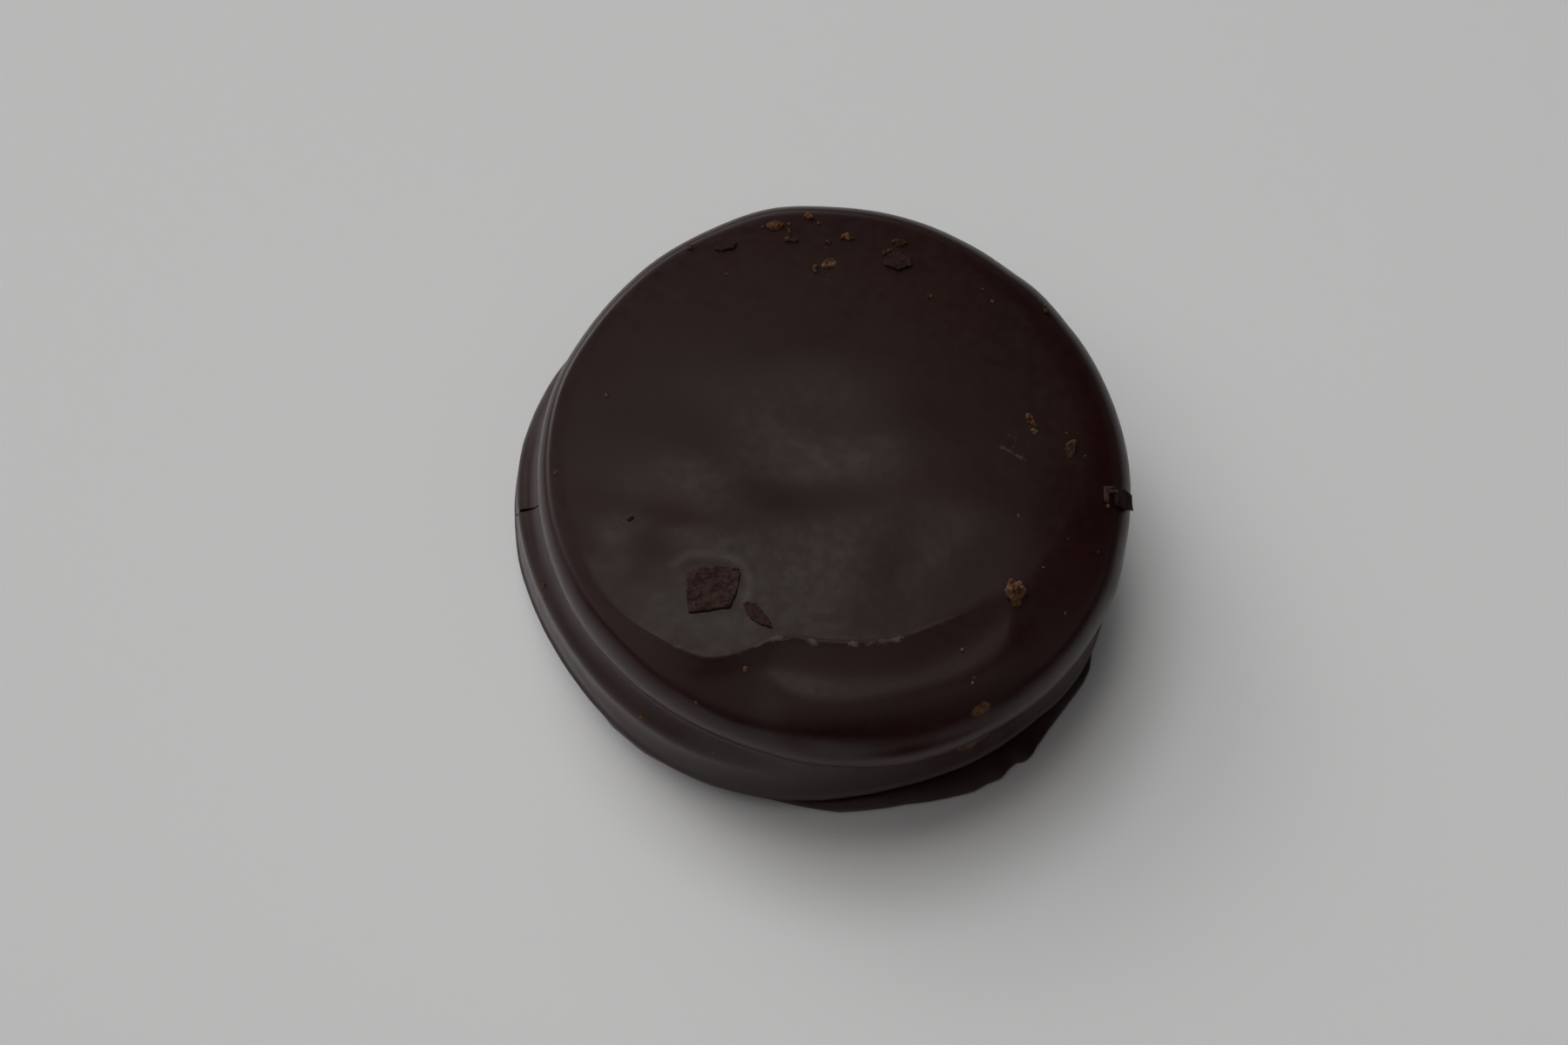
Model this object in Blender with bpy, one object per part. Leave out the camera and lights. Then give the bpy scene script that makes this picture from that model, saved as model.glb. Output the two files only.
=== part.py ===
# An alfajor: two round biscuits with a soft filling between them, coated all over in dark chocolate.
#
# The coat hides every layer, so the whole is one solid. From the table up it has a thin foot where the
# coat ran out and set, the bulging side of the lower biscuit, the shallow groove over the filling, the
# side of the upper biscuit and a top whose flat middle ends at a ridge along the front. Flakes of
# chocolate and crumbs of biscuit are stuck to the top, and the coat is cracked on the -X side.
#
# +Z is up. The base stands on z = 0, the origin is under the middle of the bounding box, and the ridge
# and the widest part of the foot face -Y. A direction is an angle seen from above, from +X towards +Y.

import math
import random

import bmesh
import bpy
from mathutils import Matrix, Vector

MM = 0.001  # every size below is in millimetres, and the meshes are in metres

# Outlines seen from above: centre, mean radius, and the lobes that put it out of round. A lobe is
# (number of lobes, how far they stand out, direction of one of them in degrees).
OUTLINES = {
    "top": ((1.6, 0.3), 29.93, ((2, 0.53, -64), (3, 0.20, -25), (4, 0.12, -15), (5, 0.16, 26))),
    "lower": ((-0.39, -0.44), 30.31, ((2, 0.66, -35), (3, 0.23, -57), (4, 0.28, -31), (5, 0.17, 30))),
    "foot": ((0.56, -1.31), 29.66, ((2, 0.89, -62), (3, 0.39, -52), (4, 0.39, 43), (5, 0.24, 19))),
}

# A table by direction holds its values at the directions given.
# How far the snapped edge of the foot stands out, straight from one direction to the next
FOOT_EDGE = {0: 0.0, 12: 0.15, 19: -0.1, 31: 0.1, 40: -0.15, 55: 0.05, 64: 0.2, 70: -0.05, 88: 0.1, 103: -0.15,
             118: 0.1, 127: -0.1, 141: 0.15, 150: 0.0, 166: -0.1, 179: 0.1, 190: -0.05, 203: 0.1, 214: 0.2,
             221.1: 0.22, 223.7: 0.3, 227.3: 0.18, 232.3: 0.18, 237.2: -0.02, 247.4: -0.02, 253.4: -0.16,
             259.3: -0.24, 265.2: 0.0, 272.7: 0.22, 278.3: -0.06, 285.9: -0.42, 292.4: -0.23, 295.3: -0.12,
             298.6: 0.09, 301.6: -0.04, 304.3: 0.17, 306.4: -0.2, 308.2: -0.27, 310: 0.2, 311.9: 0.14,
             313.3: -0.12, 317.4: -0.35, 320.9: -0.29, 324.4: -0.07, 329.2: 0.44, 332: 0.6, 338: 0.2, 347: 0.1}

# How far the lower biscuit stands out from its outline, and its lower edge from the biscuit
LOWER_OUT = {0: 0.0, 150: 0.0, 165: -0.1, 180: -0.15, 210: -0.15, 225: -0.15, 245: 0.0, 262: -0.05,
             270: -0.15, 285: -0.55, 300: -0.75, 315: -0.85, 322: -0.5, 330: -0.15, 340: 0.0}
LIP = {0: 0.2, 160: 0.2, 180: 0.2, 190: 0.3, 205: 0.25, 215: 0.25, 225: 0.33, 250: 0.4, 300: 0.4, 330: 0.35}

# The side from the table up: (outline, distance in from it, height). Heights on the upper biscuit are from
# its brim.
SIDE = (
    ("foot", 0.45, 0.0),
    ("foot", 0.0, 0.35),
    ("foot", 0.3, 1.05),
    ("lower", 1.9, 1.5),
    ("lower", 0.6, 1.9),
    ("lip", 0.0, 2.5),
    ("lip", 0.26, 3.1),
    ("lower", 0.1, 4.0),
    ("lower", 0.3, 5.0),
    ("lower", 0.45, 6.6),
    ("groove", 0.65, 8.7),
    ("top", 0.32, -1.9),
    ("top", 0.06, -0.9),
)

# The brim, where the upper biscuit is widest: its height, and how far it stands out from the outline
BRIM_HEIGHT = {0: 12.2, 90: 13.0, 150: 13.2, 180: 13.0, 200: 12.2, 225: 11.8, 255: 11.4, 285: 11.2, 315: 11.2,
               335: 11.4, 348: 12.0}
BRIM_OUT = {0: 0.2, 20: 0.22, 35: 0.33, 45: 0.5, 52: 0.33, 60: 0.33, 75: 0.25, 90: 0.05, 102: 0.4, 115: 0.17,
            128: 0.2, 138: 0.02, 150: -0.1, 160: 0.0, 172: 0.0, 180: 0.1, 190: 0.3, 200: 0.45, 212: 0.38,
            225: -0.05, 240: -0.4, 255: -0.35, 270: 0.3, 285: 0.72, 300: 0.38, 315: 0.2, 322: 0.15, 330: 0.15,
            337: 0.25, 345: 0.08, 352: 0.12}

# The rounded edge above the brim, and how far the coat falls away inside it, over the shoulder
EDGE_WIDTH = {0: 2.4, 60: 2.2, 120: 1.6, 160: 1.3, 185: 1.4, 200: 1.5, 212: 1.5, 225: 1.5, 240: 1.6, 255: 1.8,
              270: 2.0, 285: 1.9, 300: 1.6, 315: 1.5, 330: 1.7, 345: 2.0}
FALL = {0: 0.5, 60: 0.3, 90: 0.2, 150: 0.2, 180: 0.25, 200: 0.3, 212: 0.5, 225: 0.8, 240: 1.3, 255: 1.7,
        270: 2.0, 285: 2.1, 300: 1.9, 315: 1.5, 330: 1.0, 345: 0.7}
FALL_EASE = 1.7
SHOULDER_WIDTH = {0: 4.8, 20: 4.4, 60: 3.0, 120: 2.6, 160: 2.6, 180: 2.8, 205: 2.6, 217: 3.0, 227: 4.0,
                  236: 5.2, 245: 7.0, 252: 7.2, 259: 5.4, 266: 4.7, 285: 4.7, 303: 4.6, 311: 5.2, 320: 7.6,
                  335: 7.4, 348: 5.8}

# The top and the ridge along its front
TOP_HEIGHT = 16.3
TOP_LEAN = -0.012  # change of height for each millimetre towards +X
DOME = 1.1  # fall of the flat middle from its centre to its edge
RIDGE_DISTANCE = {0: 5.5, 90: 6.0, 190: 3.2, 208: 2.4, 217.4: 2.6, 225.5: 3.7, 234.9: 4.85, 239: 5.4,
                  243.2: 6.6, 248.4: 8.6, 251.8: 9.85, 254.3: 10.4, 257.5: 10.6, 266.4: 10.5, 277.3: 10.3,
                  287.4: 10.1, 297.9: 10.15, 304.4: 10.0, 311.1: 9.65, 316.4: 9.3, 324: 8.2, 332: 6.8,
                  345: 5.8}
RIDGE_DROP = {0: 0.0, 210: 0.0, 217.4: 0.08, 225: 0.22, 236: 0.42, 246: 0.6, 253: 0.6, 262: 0.45, 275: 0.4,
              291: 0.4, 301: 0.34, 311: 0.22, 322: 0.08, 334: 0.0}
RIDGE_RUN = {0: 1.8, 215: 1.2, 236: 2.2, 252: 3.4, 280: 3.8, 300: 3.6, 316: 2.8, 335: 1.8}
RIDGE_EASE = 1.5

# Swells and sags of the flat middle: (x, y, half length, half width, height, turn in degrees)
SWELLS = (
    (-15.8, -7.2, 8.8, 2.6, 0.18, -16), (21.8, -6.8, 4.5, 8.6, 0.17, -19), (3.5, -10.6, 7.8, 4.2, 0.17, 73),
    (0.1, -1.8, 3.2, 6.9, -0.16, -87), (-11.5, -8.3, 4.5, 7.0, 0.16, -85), (-14.3, 0.6, 3.7, 6.2, 0.14, 61),
    (14.4, -4.7, 8.7, 3.8, 0.14, -1), (0.2, 5.2, 6.4, 5.6, -0.13, -113), (-3.4, -1.7, 5.0, 4.0, -0.12, 143),
    (-18.6, -9.0, 5.5, 2.8, -0.10, 69), (14.5, -8.8, 6.8, 3.1, 0.09, 48), (8.0, 3.3, 3.4, 4.9, 0.08, -80),
    (-9.2, 5.3, 5.9, 5.2, -0.08, -40), (-5.3, 16.3, 8.5, 5.6, -0.07, 9), (0.9, 11.8, 5.8, 3.9, 0.05, -24),
    (-21.6, -8.2, 2.6, 1.8, 0.09, -20),
)

# Rings of points that the solid is divided by. Shoulder rings are shares of the way in from the brim to the
# foot of the ridge, and the others are (points, share of the radius).
SEGMENTS = 120
SHOULDER_RINGS = (0.0, 0.02, 0.08, 0.19, 0.35, 0.55, 0.77)
RIDGE_FOOT = 2.2  # how far in front of the ridge
RIDGE_RINGS = (0.8, 1.6)  # distances on from the ring in front of the ridge
MIDDLE_RINGS = ((60, 0.84), (60, 0.68), (30, 0.5), (30, 0.34), (15, 0.16))
BASE_RINGS = ((15, 0.2), (30, 0.5), (60, 0.8))

# Damage to the side: a crack through these places, with its half width at the surface and its depth, and a
# pit with its place and half sizes
CRACK = ((-31.3, 0.1, 4.0), (-30.9, -0.5, 5.6), (-30.2, -0.95, 7.0), (-29.5, -1.35, 8.5), (-28.9, -1.6, 10.0),
         (-28.6, -1.5, 10.8))
CRACK_WIDTH = 0.17
CRACK_DEPTH = 0.9
PIT = ((18.9, -23.4, 6.2), (0.6, 0.6, 0.42))

# Snapped plates of chocolate: (corners seen from above, height above the coat, degrees that the front edge
# stands up by)
PLATES = (
    (((-13.1, -11.6), (-13.05, -13.8), (-12.8, -16.2), (-8.6, -15.6), (-7.65, -12.0), (-7.85, -11.5)), 0.3, 2.5),
    (((-7.6, -15.2), (-6.6, -16.9), (-4.5, -17.8), (-5.2, -16.4), (-6.9, -14.8)), 0.14, 4.0),
    (((6.8, 22.9), (8.3, 22.2), (9.75, 22.9), (9.6, 24.1), (8.2, 24.7), (6.9, 24.2)), 0.24, 4.0),
    (((29.1, -3.9), (30.6, -4.1), (31.5, -3.9), (31.3, -2.3), (30.3, -1.9), (29.2, -2.3)), 0.5, 0.0),
)

# Small flakes: (x, y, length, width, height above the coat, turn in degrees, corners)
FLAKES = (
    (-9.4, 25.05, 2.8, 0.9, 0.25, 14, 6),
    (-2.65, 25.8, 1.7, 0.5, 0.25, 0, 5),
)

# Crumbs of biscuit: (x, y, length, width, height above the coat, turn in degrees)
CRUMBS = (
    (19.3, -13.65, 2.8, 2.8, 0.9, 20),
    (21.45, 4.8, 2.2, 1.0, 0.26, -66),
    (25.3, 2.15, 2.0, 1.2, 0.3, 62),
    (8.35, 25.65, 1.4, 0.9, 0.28, 0),
    (1.2, 23.1, 1.4, 1.3, 0.3, 20),
    (-4.35, 27.6, 2.0, 1.6, 0.42, 10),
    (-3.05, 26.15, 1.0, 0.6, 0.26, 20),
    (-0.95, 28.8, 1.2, 1.0, 0.34, 0),
    (3.1, 26.35, 1.4, 0.9, 0.34, -10),
    (1.1, 25.7, 0.8, 0.6, 0.25, 0),
    (-0.3, 22.6, 0.6, 1.4, 0.3, -6),
    (7.2, 24.5, 1.6, 0.5, 0.4, 20),
    (11.55, 19.25, 0.8, 0.5, 0.28, 0),
    (-13.1, 25.1, 1.0, 0.7, 0.28, 28),
    (-18.63, -5.98, 0.85, 0.9, 0.4, 0),
    (14.0, -19.7, 0.8, 0.45, 0.28, -50),
    (23.4, 18.0, 1.1, 0.6, 0.32, -35),
    (28.7, -3.4, 0.7, 1.2, 0.36, 0),
)
FLAKE_PROFILE = ((0.93, None), (1.0, 0.6), (0.88, 1.0))  # (width, height) as shares, from its root up
ROOT_DEPTH = 0.6  # how far a flake or crumb reaches down into the coat
FINE_CRUMB = 1.8  # a crumb longer than this is rounder
ROUGHNESS = 0.13  # unevenness of a flake's outline and of a crumb, as a share of its size

CHOCOLATE = (0.030, 0.017, 0.013, 1.0)
CHOCOLATE_ROUGHNESS = 0.42


def outline_point(name, angle, inset=0.0):
    """Point of an outline seen from above, that far in from it."""
    (x, y), mean, lobes = OUTLINES[name]
    radius = mean - inset
    radius += sum(size * math.cos(count * (angle - math.radians(turn))) for count, size, turn in lobes)
    return Vector((x + radius * math.cos(angle), y + radius * math.sin(angle), 0.0))


def smooth(share):
    share = min(1.0, max(0.0, share))
    return share * share * (3 - 2 * share)


def by_direction(table, angle, straight=False):
    """Value of a table by direction, on a smooth or a straight line through its entries."""
    marks = sorted(table)
    count = len(marks)
    degrees = math.degrees(angle) % 360
    here = sum(1 for mark in marks if mark <= degrees) - 1
    steps = range(here - 1, here + 3)
    places = [marks[step % count] + 360 * (step // count) for step in steps]
    values = [table[marks[step % count]] for step in steps]
    span = places[2] - places[1]
    share = (degrees - places[1]) / span
    if straight:
        return values[1] + (values[2] - values[1]) * share
    leave = (values[2] - values[0]) / (places[2] - places[0]) * span
    arrive = (values[3] - values[1]) / (places[3] - places[1]) * span
    return (
        values[1] * (1 + 2 * share) * (1 - share) ** 2
        + leave * share * (1 - share) ** 2
        + values[2] * share**2 * (3 - 2 * share)
        - arrive * share**2 * (1 - share)
    )


def side_point(outline, inset, height, angle):
    """Point of the side. The groove is halfway between the two biscuits."""
    on_top = outline_point("top", angle, inset - by_direction(BRIM_OUT, angle))
    on_lower = outline_point("lower", angle, inset - by_direction(LOWER_OUT, angle))
    if outline == "groove":
        point = (on_top + on_lower) / 2
    elif outline == "foot":
        point = outline_point("foot", angle, inset - by_direction(FOOT_EDGE, angle, straight=True))
    elif outline == "lip":
        point = outline_point("lower", angle, inset - by_direction(LOWER_OUT, angle) - by_direction(LIP, angle))
    elif outline == "top":
        point = on_top
        height += by_direction(BRIM_HEIGHT, angle)
    else:
        point = on_lower
    point.z = height
    return point


def swell(x, y):
    """Height of the swells and sags at a point of the top."""
    height = 0.0
    for at_x, at_y, half_length, half_width, most, turn in SWELLS:
        away = Vector((x - at_x, y - at_y))
        away.rotate(Matrix.Rotation(-math.radians(turn), 2))
        height += most * math.exp(-((away.x / half_length) ** 2) - (away.y / half_width) ** 2)
    return height


def top_point(angle, inward):
    """Point of the top, in one direction and that far in from its outline."""
    point = outline_point("top", angle, inward)
    brim = by_direction(BRIM_HEIGHT, angle)
    ridge = by_direction(RIDGE_DISTANCE, angle)

    flat = TOP_HEIGHT + TOP_LEAN * point.x - DOME * (point.length / OUTLINES["top"][1]) ** 2
    down = min(1.0, max(0.0, (ridge - inward) / by_direction(RIDGE_RUN, angle)))
    drop = max(0.0, by_direction(RIDGE_DROP, angle))
    flat += swell(point.x, point.y) - drop * (1 - (1 - down) ** RIDGE_EASE)
    shoulder = by_direction(SHOULDER_WIDTH, angle)
    flat -= max(0.0, by_direction(FALL, angle)) * min(1.0, max(0.0, 1.0 - inward / shoulder)) ** FALL_EASE
    outside = max(0.0, 1.0 - (inward + by_direction(BRIM_OUT, angle)) / by_direction(EDGE_WIDTH, angle))
    point.z = brim + (flat - brim) * math.sqrt(1.0 - outside * outside)
    return point


def top_height(x, y):
    """Height of the top over a point."""
    centre = Vector((*OUTLINES["top"][0], 0.0))
    arm = Vector((x, y, 0.0)) - centre
    angle = math.atan2(arm.y, arm.x)
    inward = (outline_point("top", angle) - centre).length - arm.length
    return top_point(angle, max(-by_direction(BRIM_OUT, angle), inward)).z


def ring_directions(count):
    return [math.tau * step / count for step in range(count)]


def base_rings(bottom):
    """Rings of the base, from its middle out."""
    return [[point * share for point in bottom[:: SEGMENTS // count]] for count, share in BASE_RINGS]


def top_distances(angle):
    """How far in from the top's outline its rings are, in one direction, from the brim to inside the ridge."""
    start = -by_direction(BRIM_OUT, angle)
    ridge = by_direction(RIDGE_DISTANCE, angle)
    toe = max(1.8, min(by_direction(SHOULDER_WIDTH, angle), ridge - RIDGE_FOOT))
    before = max(toe + 0.3, ridge - 0.8)
    distances = [start + share * (toe - start) for share in SHOULDER_RINGS]
    return distances + [toe, (toe + before) / 2, before] + [before + step for step in RIDGE_RINGS]


def top_rings():
    """Rings of the top, from the brim to its middle. Those beside the ridge follow it."""
    directions = ring_directions(SEGMENTS)
    columns = [[top_point(angle, inward) for inward in top_distances(angle)] for angle in directions]
    rings = [list(ring) for ring in zip(*columns)]

    centre = Vector(OUTLINES["top"][0])
    innermost = rings[-1]
    for count, share in MIDDLE_RINGS:
        places = [centre + (point.xy - centre) * share for point in innermost[:: SEGMENTS // count]]
        rings.append([Vector((*place, top_height(*place))) for place in places])
    return rings


def bridge(bm, lower, upper):
    """Faces between two rings, of which one may have twice as many points as the other."""
    if len(lower) == len(upper):
        for here in range(len(lower)):
            after = (here + 1) % len(lower)
            bm.faces.new((lower[here], lower[after], upper[after], upper[here]))
        return
    fine, coarse = (lower, upper) if len(lower) > len(upper) else (upper, lower)
    for here in range(len(coarse)):
        after = (here + 1) % len(coarse)
        first, middle, last = (fine[(2 * here + step) % len(fine)] for step in range(3))
        bm.faces.new((first, middle, coarse[here]))
        bm.faces.new((middle, coarse[after], coarse[here]))
        bm.faces.new((middle, last, coarse[after]))


def close(bm, ring, centre):
    """A fan of faces from a ring to one point."""
    pole = bm.verts.new(centre * MM)
    for here in range(len(ring)):
        bm.faces.new((ring[here], ring[(here + 1) % len(ring)], pole))


def to_mesh(bm, name):
    bmesh.ops.triangulate(bm, faces=bm.faces)
    bmesh.ops.recalc_face_normals(bm, faces=bm.faces)
    mesh = bpy.data.meshes.new(name)
    bm.to_mesh(mesh)
    bm.free()
    return mesh


def coat_mesh():
    """The coated biscuits, ring by ring from the middle of the base to the middle of the top."""
    side = [[side_point(*level, angle) for angle in ring_directions(SEGMENTS)] for level in SIDE]

    bm = bmesh.new()
    rings = base_rings(side[0]) + side + top_rings()
    rings = [[bm.verts.new(point * MM) for point in ring] for ring in rings]
    for lower, upper in zip(rings, rings[1:]):
        bridge(bm, lower, upper)
    close(bm, rings[0], Vector((0.0, 0.0, 0.0)))
    x, y = OUTLINES["top"][0]
    close(bm, rings[-1], Vector((x, y, top_height(x, y))))
    return to_mesh(bm, "alfajor")


def stand_on_top(x, y, turn=0.0, lift=0.0):
    """Matrix that puts a small piece on the top at a point, square to the surface or lifted at its front."""
    reach = 0.4
    slope_x = (top_height(x + reach, y) - top_height(x - reach, y)) / (2 * reach)
    slope_y = (top_height(x, y + reach) - top_height(x, y - reach)) / (2 * reach)
    square = Vector((0, 0, 1)).rotation_difference(Vector((-slope_x, -slope_y, 1)).normalized())
    place = Matrix.Translation(Vector((x, y, top_height(x, y))) * MM) @ square.to_matrix().to_4x4()
    return place @ Matrix.Rotation(math.radians(-lift), 4, "X") @ Matrix.Rotation(math.radians(turn), 4, "Z")


def flake_mesh(outline, height, draw):
    """A snapped plate with a bevelled upper edge and a root below the coat. The outline is about (0, 0)."""
    bm = bmesh.new()
    rings = []
    for scale, share in FLAKE_PROFILE:
        level = -ROOT_DEPTH if share is None else share * height
        uneven = 0.0 if share is None else ROUGHNESS * height
        points = [Vector((x * scale, y * scale, level + draw.uniform(-uneven, uneven))) for x, y in outline]
        rings.append([bm.verts.new(point * MM) for point in points])
    for lower, upper in zip(rings, rings[1:]):
        bridge(bm, lower, upper)
    close(bm, rings[0], Vector((0.0, 0.0, -ROOT_DEPTH)))
    close(bm, rings[-1], Vector((0.0, 0.0, height * (1 + ROUGHNESS))))
    return to_mesh(bm, "flake")


def snapped_outline(length, width, corners, draw):
    """Uneven outline of a small flake."""
    outline = []
    for corner in range(corners):
        angle = math.tau * (corner + draw.uniform(-0.2, 0.2)) / corners
        reach = draw.uniform(1 - ROUGHNESS, 1 + ROUGHNESS) / 2
        outline.append((math.cos(angle) * length * reach, math.sin(angle) * width * reach))
    return outline


def crumb_mesh(length, width, height, draw):
    """A rough grain with a root below the coat."""
    bm = bmesh.new()
    bmesh.ops.create_icosphere(bm, subdivisions=2 if length > FINE_CRUMB else 1, radius=1.0)
    half = Vector((length / 2, width / 2, (height + ROOT_DEPTH) / 2))
    middle = Vector((0.0, 0.0, (height - ROOT_DEPTH) / 2))
    for vert in bm.verts:
        vert.co = (vert.co * half * draw.uniform(1 - ROUGHNESS, 1 + ROUGHNESS) + middle) * MM
    return to_mesh(bm, "crumb")


def crack_mesh():
    """A thin wedge along its path, wide outside the coat and narrow at its root."""
    path = [Vector(place) for place in CRACK]
    bm = bmesh.new()
    rings = []
    for step, place in enumerate(path):
        out = Vector((place.x, place.y, 14.0)).normalized()
        along = path[min(step + 1, len(path) - 1)] - path[max(step - 1, 0)]
        across = along.cross(out).normalized() * CRACK_WIDTH * (1 - 0.8 * (step / (len(path) - 1)) ** 5)
        corners = ((1, 1), (1, -1), (-1, -1), (-1, 1))
        wide = {1: 1.0, -1: 0.25}
        rings.append([
            bm.verts.new((place + out * CRACK_DEPTH * far + across * side * wide[far]) * MM) for far, side in corners
        ])
    for lower, upper in zip(rings, rings[1:]):
        bridge(bm, lower, upper)
    bm.faces.new(rings[0])
    bm.faces.new(rings[-1])
    return to_mesh(bm, "crack")


def pit_mesh():
    """A small rough ball, half sunk in the side."""
    place, halves = PIT
    bm = bmesh.new()
    bmesh.ops.create_icosphere(bm, subdivisions=2, radius=MM)
    turn = Matrix.Rotation(math.atan2(place[1], place[0]), 4, "Z")
    bm.transform(Matrix.Translation(Vector(place) * MM) @ turn @ Matrix.Diagonal((*halves, 1.0)))
    return to_mesh(bm, "pit")


def combine(piece, operation, meshes):
    """Joins the meshes to the piece, or cuts them out of it, and leaves no other object."""
    collection = bpy.data.collections.new(operation.lower())
    bpy.context.scene.collection.children.link(collection)
    for mesh in meshes:
        collection.objects.link(bpy.data.objects.new(mesh.name, mesh))
    boolean = piece.modifiers.new(operation.lower(), "BOOLEAN")
    boolean.operation = operation
    boolean.operand_type = "COLLECTION"
    boolean.collection = collection
    boolean.solver = "EXACT"
    bpy.context.view_layer.objects.active = piece
    bpy.ops.object.modifier_apply(modifier=boolean.name)
    for used in list(collection.objects):
        bpy.data.objects.remove(used)
    bpy.data.collections.remove(collection)


def toppings():
    """Every flake and crumb, in place."""
    draw = random.Random(21)
    pieces = []
    for outline, height, lift in PLATES:
        x = sum(corner[0] for corner in outline) / len(outline)
        y = sum(corner[1] for corner in outline) / len(outline)
        pieces.append(flake_mesh([(at_x - x, at_y - y) for at_x, at_y in outline], height, draw))
        pieces[-1].transform(stand_on_top(x, y, lift=lift))
    for x, y, length, width, height, turn, corners in FLAKES:
        pieces.append(flake_mesh(snapped_outline(length, width, corners, draw), height, draw))
        pieces[-1].transform(stand_on_top(x, y, turn))
    for x, y, length, width, height, turn in CRUMBS:
        pieces.append(crumb_mesh(length, width, height, draw))
        pieces[-1].transform(stand_on_top(x, y, turn))
    return pieces


def chocolate():
    material = bpy.data.materials.new("dark_chocolate")
    material.use_nodes = True
    shader = material.node_tree.nodes["Principled BSDF"]
    shader.inputs["Base Color"].default_value = CHOCOLATE
    shader.inputs["Roughness"].default_value = CHOCOLATE_ROUGHNESS
    shader.inputs["Metallic"].default_value = 0.0
    return material


def centre_over_origin(mesh):
    """Moves the mesh so that the origin is under the middle of its bounding box."""
    xs = [vert.co.x for vert in mesh.vertices]
    ys = [vert.co.y for vert in mesh.vertices]
    mesh.transform(Matrix.Translation((-(min(xs) + max(xs)) / 2, -(min(ys) + max(ys)) / 2, 0)))


def main():
    for leftover in list(bpy.data.objects):
        bpy.data.objects.remove(leftover)
    alfajor = bpy.data.objects.new("alfajor", coat_mesh())
    bpy.context.scene.collection.objects.link(alfajor)
    combine(alfajor, "DIFFERENCE", [crack_mesh(), pit_mesh()])
    combine(alfajor, "UNION", toppings())
    centre_over_origin(alfajor.data)
    alfajor.data.materials.clear()
    alfajor.data.materials.append(chocolate())
    alfajor.data.shade_smooth()
    alfajor.data.set_sharp_from_angle(angle=math.radians(40))


main()
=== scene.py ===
# Looks of a chocolate-coated alfajor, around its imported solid.
# Sizes in the dictionaries are in millimetres and angles in degrees, unless a note says otherwise.
# A direction is an angle seen from above, from +X towards +Y. The front faces -Y.

import math
import random

import bpy
from mathutils import Matrix, Vector, noise


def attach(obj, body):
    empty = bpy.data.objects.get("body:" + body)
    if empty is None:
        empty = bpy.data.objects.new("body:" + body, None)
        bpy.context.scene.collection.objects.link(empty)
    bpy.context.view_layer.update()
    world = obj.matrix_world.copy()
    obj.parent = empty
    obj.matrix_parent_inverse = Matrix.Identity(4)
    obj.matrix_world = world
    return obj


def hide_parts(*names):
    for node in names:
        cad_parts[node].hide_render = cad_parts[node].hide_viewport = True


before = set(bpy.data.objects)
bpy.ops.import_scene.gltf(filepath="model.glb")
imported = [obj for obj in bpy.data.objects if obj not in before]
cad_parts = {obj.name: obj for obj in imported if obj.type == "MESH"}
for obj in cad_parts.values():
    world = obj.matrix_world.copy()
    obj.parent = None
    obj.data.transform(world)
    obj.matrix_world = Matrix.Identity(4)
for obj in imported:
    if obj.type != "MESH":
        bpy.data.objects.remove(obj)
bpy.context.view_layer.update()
mm = 0.001
print("frame loaded")


def pick(piece):
    bpy.ops.object.select_all(action="DESELECT")
    piece.select_set(True)
    bpy.context.view_layer.objects.active = piece


def add(primitive, **settings):
    bpy.ops.object.select_all(action="DESELECT")
    primitive(**settings)
    return bpy.context.object


def shadeSmooth(piece, angle):
    pick(piece)
    bpy.ops.object.shade_smooth_by_angle(angle=math.radians(angle))


def editEdges(piece, wanted):
    # goes into edit mode with just the wanted edges selected
    pick(piece)
    bpy.context.tool_settings.mesh_select_mode = (False, True, False)
    mesh = piece.data
    for element in list(mesh.polygons) + list(mesh.edges) + list(mesh.vertices):
        element.select = False
    for edge in mesh.edges:
        edge.select = wanted(edge)
    bpy.ops.object.mode_set(mode="EDIT")


def leaveEdit():
    bpy.ops.object.mode_set(mode="OBJECT")
    bpy.context.tool_settings.mesh_select_mode = (True, False, False)


def applyModifier(piece, kind, **settings):
    pick(piece)
    modifier = piece.modifiers.new(kind.lower(), kind)
    for name, value in settings.items():
        setattr(modifier, name, value)
    bpy.ops.object.modifier_apply(modifier=modifier.name)


def joinAll(pieces, name):
    pick(pieces[0])
    for piece in pieces:
        piece.select_set(True)
    bpy.ops.object.join()
    pieces[0].name = pieces[0].data.name = name
    return pieces[0]


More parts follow.
